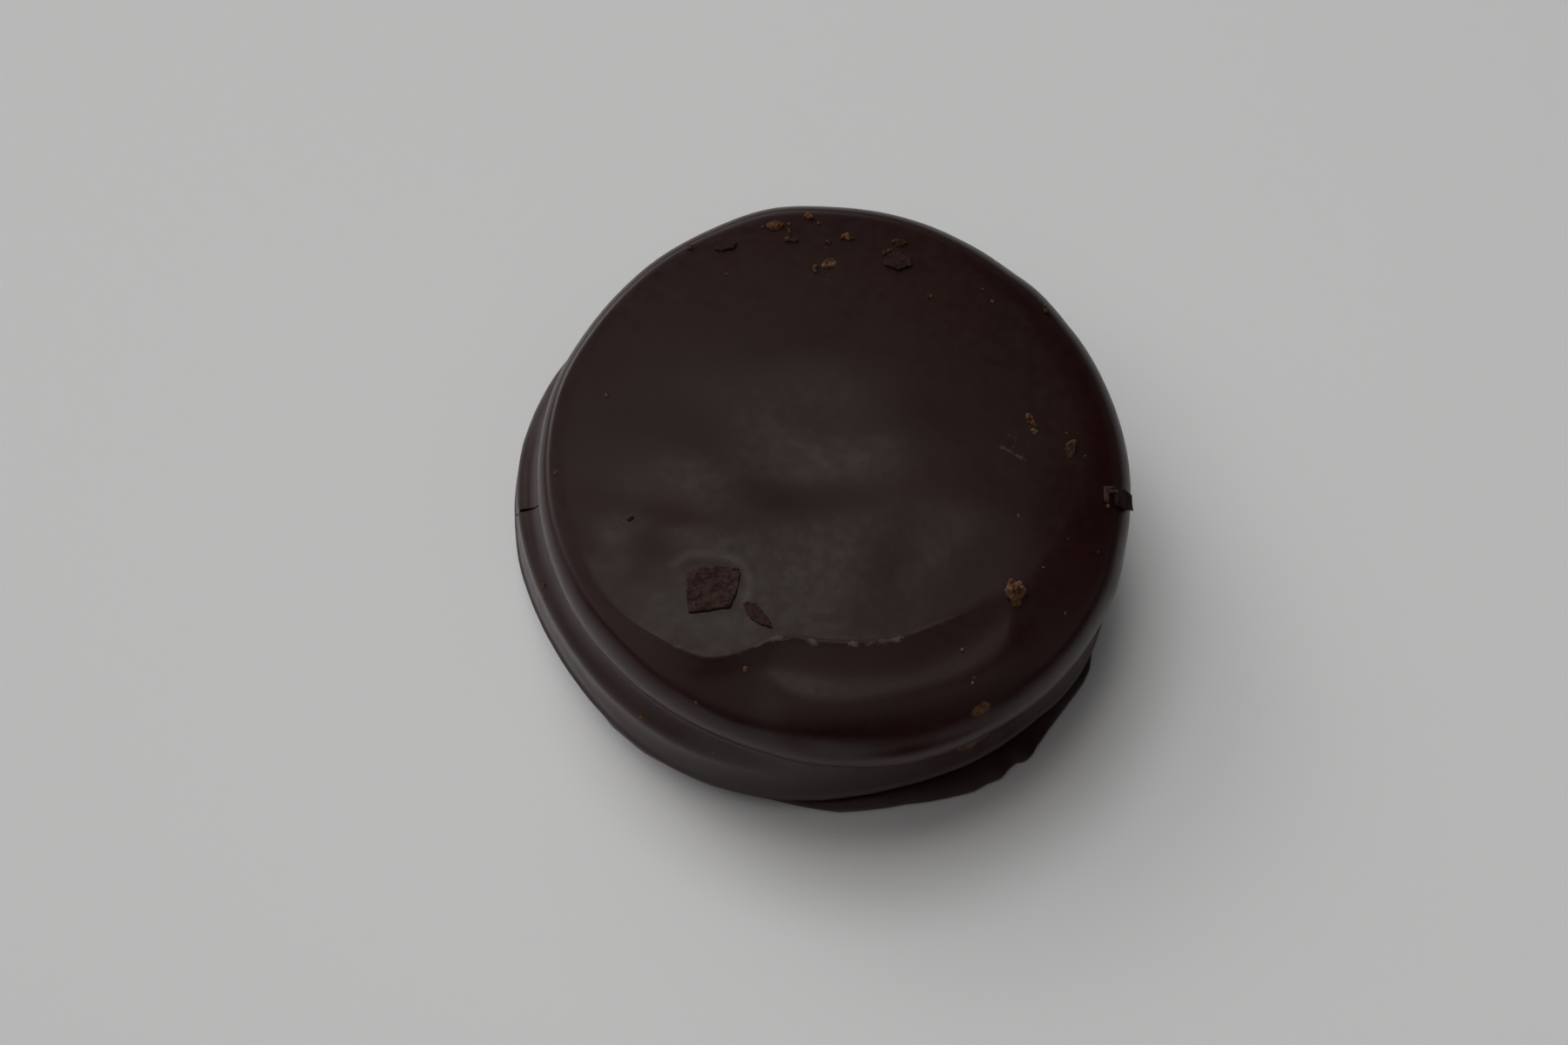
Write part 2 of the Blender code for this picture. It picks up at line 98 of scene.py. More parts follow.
coat = {
    "around": 480,  # points in each ring
    "tube": (30, 16),  # the tube that it is shaped from: radius and height
    # outlines from above: centre, mean radius, lobes (how many, how far they stand out, direction of one)
    "outlines": {
        "top": ((1.6, 0.3), 29.93, ((2, 0.53, -64), (3, 0.20, -25), (4, 0.12, -15), (5, 0.16, 26))),
        "lower": ((-0.39, -0.44), 30.31, ((2, 0.66, -35), (3, 0.23, -57), (4, 0.28, -31), (5, 0.17, 30))),
        "foot": ((0.56, -1.31), 29.66, ((2, 0.89, -62), (3, 0.39, -52), (4, 0.39, 43), (5, 0.24, 19))),
    },
    # the foot's snapped edge: how far it stands out, straight from one direction to the next
    "snapped": {0: 0.0, 12: 0.15, 19: -0.1, 31: 0.1, 40: -0.15, 55: 0.05, 64: 0.2, 70: -0.05, 88: 0.1, 103: -0.15,
                118: 0.1, 127: -0.1, 141: 0.15, 150: 0.0, 166: -0.1, 179: 0.1, 190: -0.05, 203: 0.1, 214: 0.2,
                221.1: 0.22, 223.7: 0.3, 227.3: 0.18, 232.3: 0.18, 237.2: -0.02, 247.4: -0.02, 253.4: -0.16,
                259.3: -0.24, 265.2: 0.0, 272.7: 0.22, 278.3: -0.06, 285.9: -0.42, 292.4: -0.23, 295.3: -0.12,
                298.6: 0.09, 301.6: -0.04, 304.3: 0.17, 306.4: -0.2, 308.2: -0.27, 310: 0.2, 311.9: 0.14,
                313.3: -0.12, 317.4: -0.35, 320.9: -0.29, 324.4: -0.07, 329.2: 0.44, 332: 0.6, 338: 0.2, 347: 0.1},
    # side from the table up: outline, distance in from it, height, rings up to the next level. The heights on the
    # top biscuit are from its brim
    "side": (
        ("foot", 0.45, 0.0, 2), ("foot", 0.08, 0.16, 2), ("foot", 0.0, 0.45, 2), ("foot", 0.07, 0.85, 2),
        ("foot", 0.35, 1.05, 3), ("lower", 1.9, 1.5, 3), ("lower", 0.6, 1.9, 3), ("lip", 0.1, 2.25, 3),
        ("lip", 0.0, 2.5, 3), ("lip", 0.06, 2.72, 3), ("lip", 0.26, 3.1, 3), ("lower", 0.1, 4.0, 3),
        ("lower", 0.3, 5.0, 3), ("lower", 0.42, 6.1, 3), ("lower", 0.5, 7.3, 4), ("groove", 0.65, 8.7, 4),
        ("top", 0.32, -1.9, 4), ("top", 0.06, -0.9, 4),
    ),
    # how far the lower biscuit stands out from its outline, and its lower edge from the biscuit
    "lowerOut": {0: 0.0, 150: 0.0, 165: -0.1, 180: -0.15, 210: -0.15, 225: -0.15, 245: 0.0, 262: -0.05, 270: -0.15,
                 285: -0.55, 300: -0.75, 315: -0.85, 322: -0.5, 330: -0.15, 340: 0.0},
    "lip": {0: 0.2, 160: 0.2, 180: 0.2, 190: 0.3, 205: 0.25, 215: 0.25, 225: 0.33, 250: 0.4, 300: 0.4, 330: 0.35},
    "topHeight": 16.3,
    "topLean": -0.012,  # change of height for each millimetre towards +X
    "dome": 1.1,  # how far the flat middle falls from its centre to its edge
    # the brim, where the top biscuit is widest: its height, and how far it stands out from the outline
    "brimHeight": {0: 12.2, 90: 13.0, 150: 13.2, 180: 13.0, 200: 12.2, 225: 11.8, 255: 11.4, 285: 11.2, 315: 11.2,
                   335: 11.4, 348: 12.0},
    "brimOut": {0: 0.2, 20: 0.22, 35: 0.33, 45: 0.5, 52: 0.33, 60: 0.33, 75: 0.25, 90: 0.05, 102: 0.4, 115: 0.17,
                128: 0.2, 138: 0.02, 150: -0.1, 160: 0.0, 172: 0.0, 180: 0.1, 190: 0.3, 200: 0.45, 212: 0.38,
                225: -0.05, 240: -0.4, 255: -0.35, 270: 0.3, 285: 0.72, 300: 0.38, 315: 0.2, 322: 0.15, 330: 0.15,
                337: 0.25, 345: 0.08, 352: 0.12},
    # the rounded edge above the brim: its width, how far the shoulder inside it falls away, the shoulder's width
    "edgeWidth": {0: 2.4, 60: 2.2, 120: 1.6, 160: 1.3, 185: 1.4, 200: 1.5, 212: 1.5, 225: 1.5, 240: 1.6, 255: 1.8,
                  270: 2.0, 285: 1.9, 300: 1.6, 315: 1.5, 330: 1.7, 345: 2.0},
    "fall": {0: 0.5, 60: 0.3, 90: 0.2, 150: 0.2, 180: 0.25, 200: 0.3, 212: 0.5, 225: 0.8, 240: 1.3, 255: 1.7,
             270: 2.0, 285: 2.1, 300: 1.9, 315: 1.5, 330: 1.0, 345: 0.7},
    "shoulderWidth": {0: 4.8, 20: 4.4, 60: 3.0, 120: 2.6, 160: 2.6, 180: 2.8, 205: 2.6, 217: 3.0, 227: 4.0, 236: 5.2,
                      245: 7.0, 252: 7.2, 259: 5.4, 266: 4.7, 285: 4.7, 303: 4.6, 311: 5.2, 320: 7.6, 335: 7.4,
                      348: 5.8},
    "fallEase": 1.7,
    # the ridge where the flat middle ends: how far in from the outline it is, how far the coat drops in front of it,
    # over what width, and how softly (0 is a crisp edge)
    "ridgeDistance": {0: 5.5, 90: 6.0, 190: 3.2, 208: 2.4, 217.4: 2.6, 225.5: 3.7, 234.9: 4.85, 239: 5.4, 243.2: 6.6,
                      248.4: 8.6, 251.8: 9.85, 254.3: 10.4, 257.5: 10.6, 266.4: 10.5, 277.3: 10.3, 287.4: 10.1,
                      297.9: 10.15, 304.4: 10.0, 311.1: 9.65, 316.4: 9.3, 324: 8.2, 332: 6.8, 345: 5.8},
    "ridgeDrop": {0: 0.0, 210: 0.0, 217.4: 0.08, 225: 0.22, 236: 0.42, 246: 0.6, 253: 0.6, 262: 0.45, 275: 0.4,
                  291: 0.4, 301: 0.34, 311: 0.22, 322: 0.08, 334: 0.0},
    "ridgeRun": {0: 1.8, 215: 1.2, 236: 2.2, 252: 3.4, 280: 3.8, 300: 3.6, 316: 2.8, 335: 1.8},
    "ridgeEase": 1.5,
    "ridgeSoft": {0: 1.0, 214: 1.0, 224: 0.5, 230: 0.15, 238: 0.3, 245: 0.6, 251: 0.4, 257: 0.05, 286: 0.05, 294: 0.3,
                  302: 0.6, 311: 0.9, 318: 1.0},
    # the raised edge of the ridge: its height, its width, and the drop at which it is at its full height
    "ridgeLip": 0.05,
    "lipWidth": 0.3,
    "lipDrop": 0.4,
    # thin smear of chocolate round the largest flake. It lies in a square with this middle and half side
    "smear": ((-14.4, -11.1), (-12.9, -10.2), (-10.6, -10.15), (-8.6, -10.5), (-7.3, -11.2), (-6.85, -12.4),
              (-7.0, -13.9), (-7.4, -15.3)),
    "smearWidth": 0.5,
    "smearHeight": 0.02,
    "smearMiddle": (-10.5, -12.5),
    "smearReach": 6,
    # swells and sags of the flat middle: x, y, half length, half width, height, turn
    "swells": (
        (-15.8, -7.2, 8.8, 2.6, 0.18, -16), (21.8, -6.8, 4.5, 8.6, 0.17, -19), (3.5, -10.6, 7.8, 4.2, 0.17, 73),
        (0.1, -1.8, 3.2, 6.9, -0.16, -87), (-11.5, -8.3, 4.5, 7.0, 0.16, -85), (-14.3, 0.6, 3.7, 6.2, 0.14, 61),
        (14.4, -4.7, 8.7, 3.8, 0.14, -1), (0.2, 5.2, 6.4, 5.6, -0.13, -113), (-3.4, -1.7, 5.0, 4.0, -0.12, 143),
        (-18.6, -9.0, 5.5, 2.8, -0.10, 69), (14.5, -8.8, 6.8, 3.1, 0.09, 48), (8.0, 3.3, 3.4, 4.9, 0.08, -80),
        (-9.2, 5.3, 5.9, 5.2, -0.08, -40), (-5.3, 16.3, 8.5, 5.6, -0.07, 9), (0.9, 11.8, 5.8, 3.9, 0.05, -24),
        (-21.6, -8.2, 2.6, 1.8, 0.09, -20),
    ),
    # rings of the top: over the shoulder, on to the ridge, over it, and in to the grid in its middle
    "shoulderRings": 16,
    "slopeRings": 8,
    "ridgeRings": 12,
    "innerRings": 14,
    "innerShare": 0.8,
    "shoulderLeast": 1.8,  # the rings of the shoulder reach at least so far in
    "ridgeClear": 2.2,  # and end at least so far before the ridge
    "ridgeBefore": 0.8,  # the rings over the ridge start so far before it
    "ridgeBand": 1.6,  # and cover so much
    "baseRings": (0.99, 0.97, 0.95),  # rings of the base, each as a share of the one before
    # evenness of the set chocolate: height of the waves and their length
    "topWaves": ((0.008, 3.4), (0.002, 1.1)),
    "sideWaves": ((0.08, 8.0), (0.04, 2.8), (0.014, 0.9)),
    # heights between which the top's waves take over from the side's, and the waves begin
    "topFrom": (12.5, 15.0),
    "wavesFrom": (0.05, 1.25),
    # crack in the side: where it runs, its half width at the surface, its depth, and its sways (how far, how often,
    # place in the noise)
    "crack": (((-31.3, 0.1, 4.0), (-30.9, -0.5, 5.6), (-30.2, -0.95, 7.0), (-29.5, -1.35, 8.5), (-28.9, -1.6, 10.0),
               (-28.6, -1.5, 10.8)), 0.17, 0.9, ((0.09, 11, (0.3, 0.7)), (0.05, 30, (4, 1)))),
    # pit in the side: place, half sizes and roughness
    "pit": ((18.9, -23.4, 6.2), (0.62, 0.6, 0.42), 0.35),
}


def outlinePoint(name, angle, inset=0.0):
    (x, y), mean, lobes = coat["outlines"][name]
    radius = mean - inset + sum(size * math.cos(count * (angle - math.radians(turn))) for count, size, turn in lobes)
    return Vector((x + radius * math.cos(angle), y + radius * math.sin(angle), 0.0))


def curveAt(start, leave, end, arrive, share):
    # that share along a smooth curve, by its two ends and the slopes there
    return (start * (1 + 2 * share) * (1 - share) ** 2 + leave * share * (1 - share) ** 2
            + end * share ** 2 * (3 - 2 * share) - arrive * share ** 2 * (1 - share))


def around(table, angle, straight=False):
    # value of a table by direction, on a smooth or a straight line through its entries
    marks = sorted(table)
    count = len(marks)
    degrees = math.degrees(angle) % 360
    here = sum(1 for mark in marks if mark <= degrees) - 1
    places = [marks[step % count] + 360 * (step // count) for step in range(here - 1, here + 3)]
    values = [table[marks[step % count]] for step in range(here - 1, here + 3)]
    span = places[2] - places[1]
    share = (degrees - places[1]) / span
    if straight:
        return values[1] + (values[2] - values[1]) * share
    slopes = [(values[step + 1] - values[step - 1]) / (places[step + 1] - places[step - 1]) for step in (1, 2)]
    return curveAt(values[1], slopes[0] * span, values[2], slopes[1] * span, share)


def topGuides(angle):
    return (around(coat["shoulderWidth"], angle), around(coat["ridgeDistance"], angle),
            max(0.0, around(coat["ridgeDrop"], angle)), around(coat["ridgeRun"], angle),
            min(1.0, max(0.0, around(coat["ridgeSoft"], angle))), around(coat["brimHeight"], angle),
            -around(coat["brimOut"], angle), around(coat["edgeWidth"], angle), max(0.0, around(coat["fall"], angle)))


def ease(share):
    share = min(1.0, max(0.0, share))
    return share * share * (3 - 2 * share)


def sidePoint(outline, inset, height, angle):
    onTop = outlinePoint("top", angle, inset - around(coat["brimOut"], angle))
    lowerInset = inset - around(coat["lowerOut"], angle)
    if outline == "top":
        point = onTop
        height += around(coat["brimHeight"], angle)
    elif outline == "groove":
        point = (onTop + outlinePoint("lower", angle, lowerInset)) / 2
    elif outline == "lower":
        point = outlinePoint("lower", angle, lowerInset)
    elif outline == "lip":
        point = outlinePoint("lower", angle, lowerInset - around(coat["lip"], angle))
    else:
        point = outlinePoint("foot", angle, inset - around(coat["snapped"], angle, straight=True))
    point.z = height
    return point


def swell(x, y):
    height = 0.0
    for atX, atY, halfLength, halfWidth, top, turn in coat["swells"]:
        away = Vector((x - atX, y - atY))
        away.rotate(Matrix.Rotation(-math.radians(turn), 2))
        height += top * math.exp(-((away.x / halfLength) ** 2) - (away.y / halfWidth) ** 2)
    return height


def nearestOnLine(x, y, line):
    # distance from a place to a line of points, seen from above
    best = 1e9
    for (x1, y1), (x2, y2) in zip(line, line[1:]):
        dx, dy = x2 - x1, y2 - y1
        share = min(1.0, max(0.0, ((x - x1) * dx + (y - y1) * dy) / (dx * dx + dy * dy)))
        best = min(best, math.hypot(x - x1 - dx * share, y - y1 - dy * share))
    return best


def smearStrength(x, y):
    # of the film round the largest flake, 1 along its middle line
    middle, reach = coat["smearMiddle"], coat["smearReach"]
    if abs(x - middle[0]) > reach or abs(y - middle[1]) > reach:
        return 0.0
    away = nearestOnLine(x, y, coat["smear"]) / coat["smearWidth"]
    return math.exp(-away * away)


def topPoint(angle, inward, guides=None):
    # point of the top, that far in from its outline
    shoulder, ridge, drop, run, soft, brim, start, edge, fall = guides or topGuides(angle)
    point = outlinePoint("top", angle, inward)
    flat = coat["topHeight"] + coat["topLean"] * point.x
    flat -= coat["dome"] * (point.length / coat["outlines"]["top"][1]) ** 2
    down = min(1.0, max(0.0, (ridge - inward) / run))
    sharp = 1 - (1 - down) ** coat["ridgeEase"]
    gentle = ease((ridge + 0.25 * run - inward) / (1.25 * run))
    flat += swell(point.x, point.y) - drop * (sharp + (gentle - sharp) * soft)
    lip = math.exp(-(((inward - ridge) / coat["lipWidth"]) ** 2)) * min(1.0, drop / coat["lipDrop"])
    flat += coat["ridgeLip"] * lip * (1 - soft)
    flat += coat["smearHeight"] * smearStrength(point.x, point.y)
    flat -= fall * min(1.0, max(0.0, 1.0 - inward / shoulder)) ** coat["fallEase"]
    outside = max(0.0, 1.0 - (inward - start) / edge)
    point.z = brim + (flat - brim) * math.sqrt(1.0 - outside * outside)
    return point


def topPolar(x, y):
    # direction and distance in from the outline, of a place on the top
    centre = Vector((*coat["outlines"]["top"][0], 0.0))
    arm = Vector((x, y, 0.0)) - centre
    angle = math.atan2(arm.y, arm.x)
    return angle, (outlinePoint("top", angle) - centre).length - arm.length


def topHeight(x, y):
    angle, inward = topPolar(x, y)
    return topPoint(angle, max(-around(coat["brimOut"], angle), inward)).z


def throughPoints(points, steps):
    # smooth curve through points, with so many steps from each to the next. The last two points only steer it
    curve = []
    for here, count in enumerate(steps):
        before = points[max(0, here - 1)]
        start, end = points[here], points[here + 1]
        after = points[min(len(points) - 1, here + 2)]
        curve += [curveAt(start, (end - before) / 2, end, (after - start) / 2, step / count) for step in range(count)]
    return curve


def coatRings():
    # every ring of the coat from the table up and in over the top, as [direction][ring]
    columns = []
    for step in range(coat["around"]):
        angle = math.tau * step / coat["around"]
        guides = topGuides(angle)
        shoulder, ridge, start = guides[0], guides[1], guides[6]
        levels = [sidePoint(*level[:3], angle) for level in coat["side"]]
        levels.append(topPoint(angle, start, guides))
        levels.append(sidePoint("top", coat["side"][-1][1], -coat["side"][-1][2], angle))
        column = throughPoints(levels, [level[3] for level in coat["side"]])

        toe = max(coat["shoulderLeast"], min(shoulder, ridge - coat["ridgeClear"]))
        before = max(toe + 0.3, ridge - coat["ridgeBefore"])
        past = before + coat["ridgeBand"]
        radius = (outlinePoint("top", angle) - Vector((*coat["outlines"]["top"][0], 0))).length
        inner = past + (radius - past) * (1 - coat["innerShare"])
        shares = [(ring / coat["shoulderRings"]) ** 2 for ring in range(coat["shoulderRings"])]
        distances = [start + share * (toe - start) for share in shares]
        distances += [toe + (before - toe) * ring / coat["slopeRings"] for ring in range(coat["slopeRings"])]
        distances += [before + (past - before) * ring / coat["ridgeRings"] for ring in range(coat["ridgeRings"])]
        count = coat["innerRings"]
        distances += [past + (inner - past) * ring / (count - 1) for ring in range(count)]
        column += [topPoint(angle, distance, guides) for distance in distances]
        columns.append(column)
    return columns


def waves(place, sizes):
    return sum(
        height * noise.noise(place / length + Vector((7.3 * number, 2.9, 5.1)))
        for number, (height, length) in enumerate(sizes)
    )


def makeCoat():
    columns = coatRings()
    ringCount = len(columns[0])
    tubeRadius, tubeHeight = coat["tube"]
    rise = tubeHeight * mm / (ringCount - 1)
    count = coat["around"]

    # an open tube, cut into rings, then set to the coat's outlines
    piece = add(bpy.ops.mesh.primitive_cylinder_add, vertices=count, radius=tubeRadius * mm, depth=tubeHeight * mm,
                end_fill_type="NOTHING", location=(0, 0, tubeHeight / 2 * mm))
    piece.name = piece.data.name = "coat"
    pick(piece)
    bpy.ops.object.transform_apply(location=True)
    heights = [vertex.co.z for vertex in piece.data.vertices]
    editEdges(piece, lambda edge: abs(heights[edge.vertices[0]] - heights[edge.vertices[1]]) > rise)
    bpy.ops.mesh.subdivide(number_cuts=ringCount - 2)
    leaveEdit()
    ringOf = []
    for vertex in piece.data.vertices:
        ring = round(vertex.co.z / rise)
        column = round(math.atan2(vertex.co.y, vertex.co.x) / math.tau * count) % count
        ringOf.append(ring)
        vertex.co = columns[column][ring] * mm

    # the flat middle of the top, as a grid inside the innermost ring
    editEdges(piece, lambda edge: all(ringOf[corner] == ringCount - 1 for corner in edge.vertices))
    bpy.ops.mesh.fill_grid(span=count // 4)
    leaveEdit()
    for vertex in piece.data.vertices[len(ringOf):]:
        vertex.co.z = topHeight(vertex.co.x / mm, vertex.co.y / mm) * mm

    # the base, drawn in by rings and closed by a grid
    editEdges(piece, lambda edge: all(corner < len(ringOf) and ringOf[corner] == 0 for corner in edge.vertices))
    for share in coat["baseRings"]:
        bpy.ops.mesh.extrude_region_move()
        bpy.ops.transform.resize(value=(share, share, 1), center_override=(0, 0, 0))
    bpy.ops.mesh.fill_grid(span=count // 4)
    bpy.ops.mesh.select_all(action="SELECT")
    bpy.ops.mesh.normals_make_consistent(inside=False)
    leaveEdit()

    # unevenness of the set chocolate, out along the surface, fading to nothing at the table
    (topLow, topHigh), (wavesLow, wavesHigh) = coat["topFrom"], coat["wavesFrom"]
    out = [vertex.normal.copy() for vertex in piece.data.vertices]
    for vertex, normal in zip(piece.data.vertices, out):
        place = vertex.co / mm
        onTop = ease((place.z - topLow) / (topHigh - topLow))
        bump = waves(place, coat["topWaves"]) * onTop + waves(place, coat["sideWaves"]) * (1 - onTop)
        vertex.co += normal * bump * ease((place.z - wavesLow) / (wavesHigh - wavesLow)) * mm
    return piece


def cutCoat(piece):
    # the crack is a thin jagged wedge that narrows inwards and upwards, and the pit a rough ball
    line, width, depth, sways = coat["crack"]
    line = [Vector(place) for place in line]
    crack = add(bpy.ops.mesh.primitive_cube_add, size=1)
    bpy.ops.object.mode_set(mode="EDIT")
    bpy.ops.mesh.subdivide(number_cuts=19)
    bpy.ops.object.mode_set(mode="OBJECT")
    for vertex in crack.data.vertices:
        x, y, z = vertex.co
        along = (z + 0.5) * (len(line) - 1)
        here = min(int(along), len(line) - 2)
        middle = line[here].lerp(line[here + 1], along - here)
        out = Vector((middle.x, middle.y, 14.0)).normalized()
        across = (line[here + 1] - line[here]).cross(out).normalized()
        narrow = (0.25 + 1.5 * max(0.0, x + 0.5)) * (1 - 0.8 * (z + 0.5) ** 5)
        sway = sum(far * noise.noise(Vector((z * often, *spot))) for far, often, spot in sways)
        vertex.co = (middle + out * (2 * x * depth) + across * (2 * y * width * narrow + sway)) * mm

    place, halves, roughness = coat["pit"]
    pit = add(bpy.ops.mesh.primitive_ico_sphere_add, subdivisions=3, radius=1)
    turn = Matrix.Rotation(math.atan2(place[1], place[0]) + math.pi / 2, 4, "Z")
    for vertex in pit.data.vertices:
        vertex.co = vertex.co * Vector(halves) * (1 + roughness * noise.noise(vertex.co * 2.2)) * mm
    pit.data.transform(Matrix.Translation(Vector(place) * mm) @ turn)
    for cutter in (crack, pit):
        applyModifier(piece, "BOOLEAN", operation="DIFFERENCE", solver="MANIFOLD", object=cutter)
        bpy.data.objects.remove(cutter)


coatPiece = makeCoat()
cutCoat(coatPiece)
shadeSmooth(coatPiece, 50)
print("coat made:", len(coatPiece.data.polygons), "faces")

# marks on the coat, painted as a colour: red is worn pale, and along the ridge also a painted highlight of its crest,
# green is bare biscuit, blue is the thin film.
# Each is a line from one place to another with a radius and a strength
marks = {
    "wornAndHighlight": (
        ((-20.8, -21.8, 5.3), (-18.4, -24.1, 4.8), 0.45, 0.3), ((-18.4, -24.1, 4.8), (-15.9, -25.9, 4.1), 0.45, 0.3),
        ((-20.9, -6.5, 15.8), (-20.1, -6.8, 15.8), 0.5, 0.45), ((21.2, -20.8, 13.4), (22.0, -20.0, 13.4), 0.8, 0.3),
        ((-16.9, -14.9, 15.6), (-15.7, -15.0, 15.6), 0.2, 0.6), ((18.3, 2.2, 15.6), (20.5, 0.7, 15.6), 0.2, 0.9),
    ),
    "bare": (
        ((14.8, -26.1, 5.9), (16.4, -25.1, 6.7), 0.75, 1.7), ((15.2, -25.6, 13.4), (16.2, -24.9, 13.5), 0.35, 1.4),
        ((10.5, -28.5, 6.5), (11.2, -28.5, 6.9), 0.3, 0.7), ((-17.5, -23.65, 7.5), (-17.4, -23.8, 7.2), 0.4, 0.8),
        ((22.15, -22.0, 12.2), (22.85, -21.1, 12.3), 0.25, 0.7), ((23.5, -20.7, 5.6), (25.5, -18.2, 3.5), 0.25, 0.6),
        ((-30.9, -1.1, 4.4), (-30.5, -1.3, 5.6), 0.22, 0.7), ((18.4, 2.6, 15.6), (18.9, 3.6, 15.6), 0.17, 0.55),
        ((18.9, 3.6, 15.6), (19.8, 3.2, 15.6), 0.17, 0.55), ((19.8, 3.2, 15.6), (19.5, 2.3, 15.6), 0.17, 0.5),
    ),
    "hazy": (
        ((-16.2, -15.4, 15.5), (-8.0, -17.6, 15.5), 1.7, 0.5), ((-21.8, -7.0, 15.6), (-20.4, -7.8, 15.6), 1.1, 0.35),
    ),
    # how worn the ridge is, and how strong the painted highlight on its crest, by direction
    "ridge": {0: 0.0, 222: 0.0, 227: 0.5, 230: 0.9, 236: 0.7, 240: 0.15, 244: 0.25, 248: 0.7, 253: 1.0, 292: 1.0,
              297: 0.5, 312: 0.2, 325: 0.0},
    "ridgeWidth": 0.4,
    "ridgeBroken": (0.5, 1.5, 1.3, 1.2),  # its mean, how much it varies, the length of the stretches, and the most
    "topFrom": 14.0,  # the ridge and the film are looked for above this height
    "reach": 12,  # and a line within this distance of its start
}


def markStrength(place, strokes):
    strength = 0.0
    for start, end, radius, most in strokes:
        if abs(place.x - start[0]) > marks["reach"] or abs(place.y - start[1]) > marks["reach"]:
            continue
        start, end = Vector(start), Vector(end)
        along = end - start
        share = min(1.0, max(0.0, (place - start).dot(along) / along.length_squared))
        away = (place - start - along * share).length / radius
        strength = max(strength, most * max(0.0, 1.0 - away / 2))
    return strength


def ridgeWearAndHighlight(place):
    # worn along the ridge at the front, in broken stretches, together with a painted highlight of its crest
    if place.z < marks["topFrom"]:
        return 0.0
    angle, inward = topPolar(place.x, place.y)
    away = (inward - around(coat["ridgeDistance"], angle)) / marks["ridgeWidth"]
    if abs(away) > 3:
        return 0.0
    mean, varies, length, most = marks["ridgeBroken"]
    broken = min(most, max(0.0, mean + varies * noise.noise(place / length)))
    return around(marks["ridge"], angle) * math.exp(-away * away) * broken


def filmStrength(place):
    if place.z < marks["topFrom"]:
        return 0.0
    return max(markStrength(place, marks["hazy"]), smearStrength(place.x, place.y))


def paintMarks(piece):
    layer = piece.data.color_attributes.new(name="marks", type="FLOAT_COLOR", domain="POINT")
    for vertex in piece.data.vertices:
        place = vertex.co / mm
        wornAndHighlight = max(markStrength(place, marks["wornAndHighlight"]), ridgeWearAndHighlight(place))
        layer.data[vertex.index].color = max(0.0, wornAndHighlight), markStrength(place, marks["bare"]), filmStrength(place), 1.0


paintMarks(coatPiece)
print("coat painted")

flakes = {
    "voxel": 0.09,
    "root": 0.5,  # how far they reach into the coat
    "stem": 0.82,  # how narrow they are where they leave the coat
    "thin": 0.24,  # the most that the widest part is thick
    "rim": 0.97,  # how narrow the upper face is
    "nicks": (0.08, (-0.07, 0.05)),  # the points on a snapped side: how far they move along it, and across it
    "tilt": 0.12,  # how uneven the upper face is, as a share of the height
    # the grain: its height, its length, how much finer it is along X, Y and Z, and the fine grain's share and length
    "rough": 0.055,
    "grain": 0.45,
    "layers": (0.8, 3.2, 4),
    "fine": 0.5,
    "fineGrain": 0.2,
    # corners seen from above, height above the coat, how many degrees the front edge stands up, colour (0 is as
    # dark as the coat, 1 is the pale snapped face)
    "plates": (
        (((-13.1, -11.6), (-13.05, -13.8), (-12.8, -16.2), (-10.7, -15.95), (-8.6, -15.6), (-8.0, -13.9),
          (-7.65, -12.0), (-7.85, -11.5), (-10.0, -11.25), (-11.8, -11.4)), 0.3, 2.5, 0.8),
        (((-7.6, -15.2), (-7.2, -16.0), (-6.6, -16.9), (-5.7, -17.4), (-4.5, -17.8), (-5.2, -16.4),
          (-6.1, -15.1), (-6.9, -14.8)), 0.14, 4.0, 0.5),
        (((6.8, 22.9), (8.3, 22.2), (9.75, 22.9), (9.6, 24.1), (8.2, 24.7), (6.9, 24.2)), 0.24, 4.0, 0.25),
        (((29.1, -3.9), (30.6, -4.1), (31.5, -3.9), (31.3, -2.3), (30.3, -1.9), (29.2, -2.3)), 0.5, 0.0, 0.0),
        (((28.3, -2.0), (29.6, -1.8), (29.7, -2.5), (28.9, -2.6), (28.85, -3.7), (28.35, -3.6)), 0.36, 0.0, 1.1),
    ),
    # x, y, length, width, height, turn, corners, colour
    "small": (
        (-2.65, 25.8, 1.7, 0.5, 0.25, 0, 5, 0.6), (-9.4, 25.05, 2.8, 0.9, 0.25, 14, 6, 0.3),
    ),
}


def placeOnTop(x, y, turn=0.0, lift=0.0):
    reach = 0.4
    slopeX = (topHeight(x + reach, y) - topHeight(x - reach, y)) / (2 * reach)
    slopeY = (topHeight(x, y + reach) - topHeight(x, y - reach)) / (2 * reach)
    square = Vector((0, 0, 1)).rotation_difference(Vector((-slopeX, -slopeY, 1)).normalized())
    place = Matrix.Translation(Vector((x, y, topHeight(x, y))) * mm) @ square.to_matrix().to_4x4()
    return place @ Matrix.Rotation(math.radians(-lift), 4, "X") @ Matrix.Rotation(math.radians(turn), 4, "Z")


def skinAll(piece, values, tinted, angle):
    # one skin over all, with its coarse and fine grain. Every point takes the colour of the nearest of the places
    applyModifier(piece, "REMESH", mode="VOXEL", voxel_size=values["voxel"] * mm)
    layers = Vector(values["layers"])
    for vertex, normal in [(vertex, vertex.normal.copy()) for vertex in piece.data.vertices]:
        place = vertex.co / mm
        bump = noise.noise(place * layers / values["grain"])
        bump += values["fine"] * noise.noise(place / values["fineGrain"])
        vertex.co += normal * values["rough"] * bump * mm
    tints = piece.data.attributes.new(name="tint", type="FLOAT", domain="POINT")
    for vertex in piece.data.vertices:
        tints.data[vertex.index].value = min(tinted, key=lambda spot: (vertex.co.xy / mm - spot[0]).length)[1]
    shadeSmooth(piece, angle)


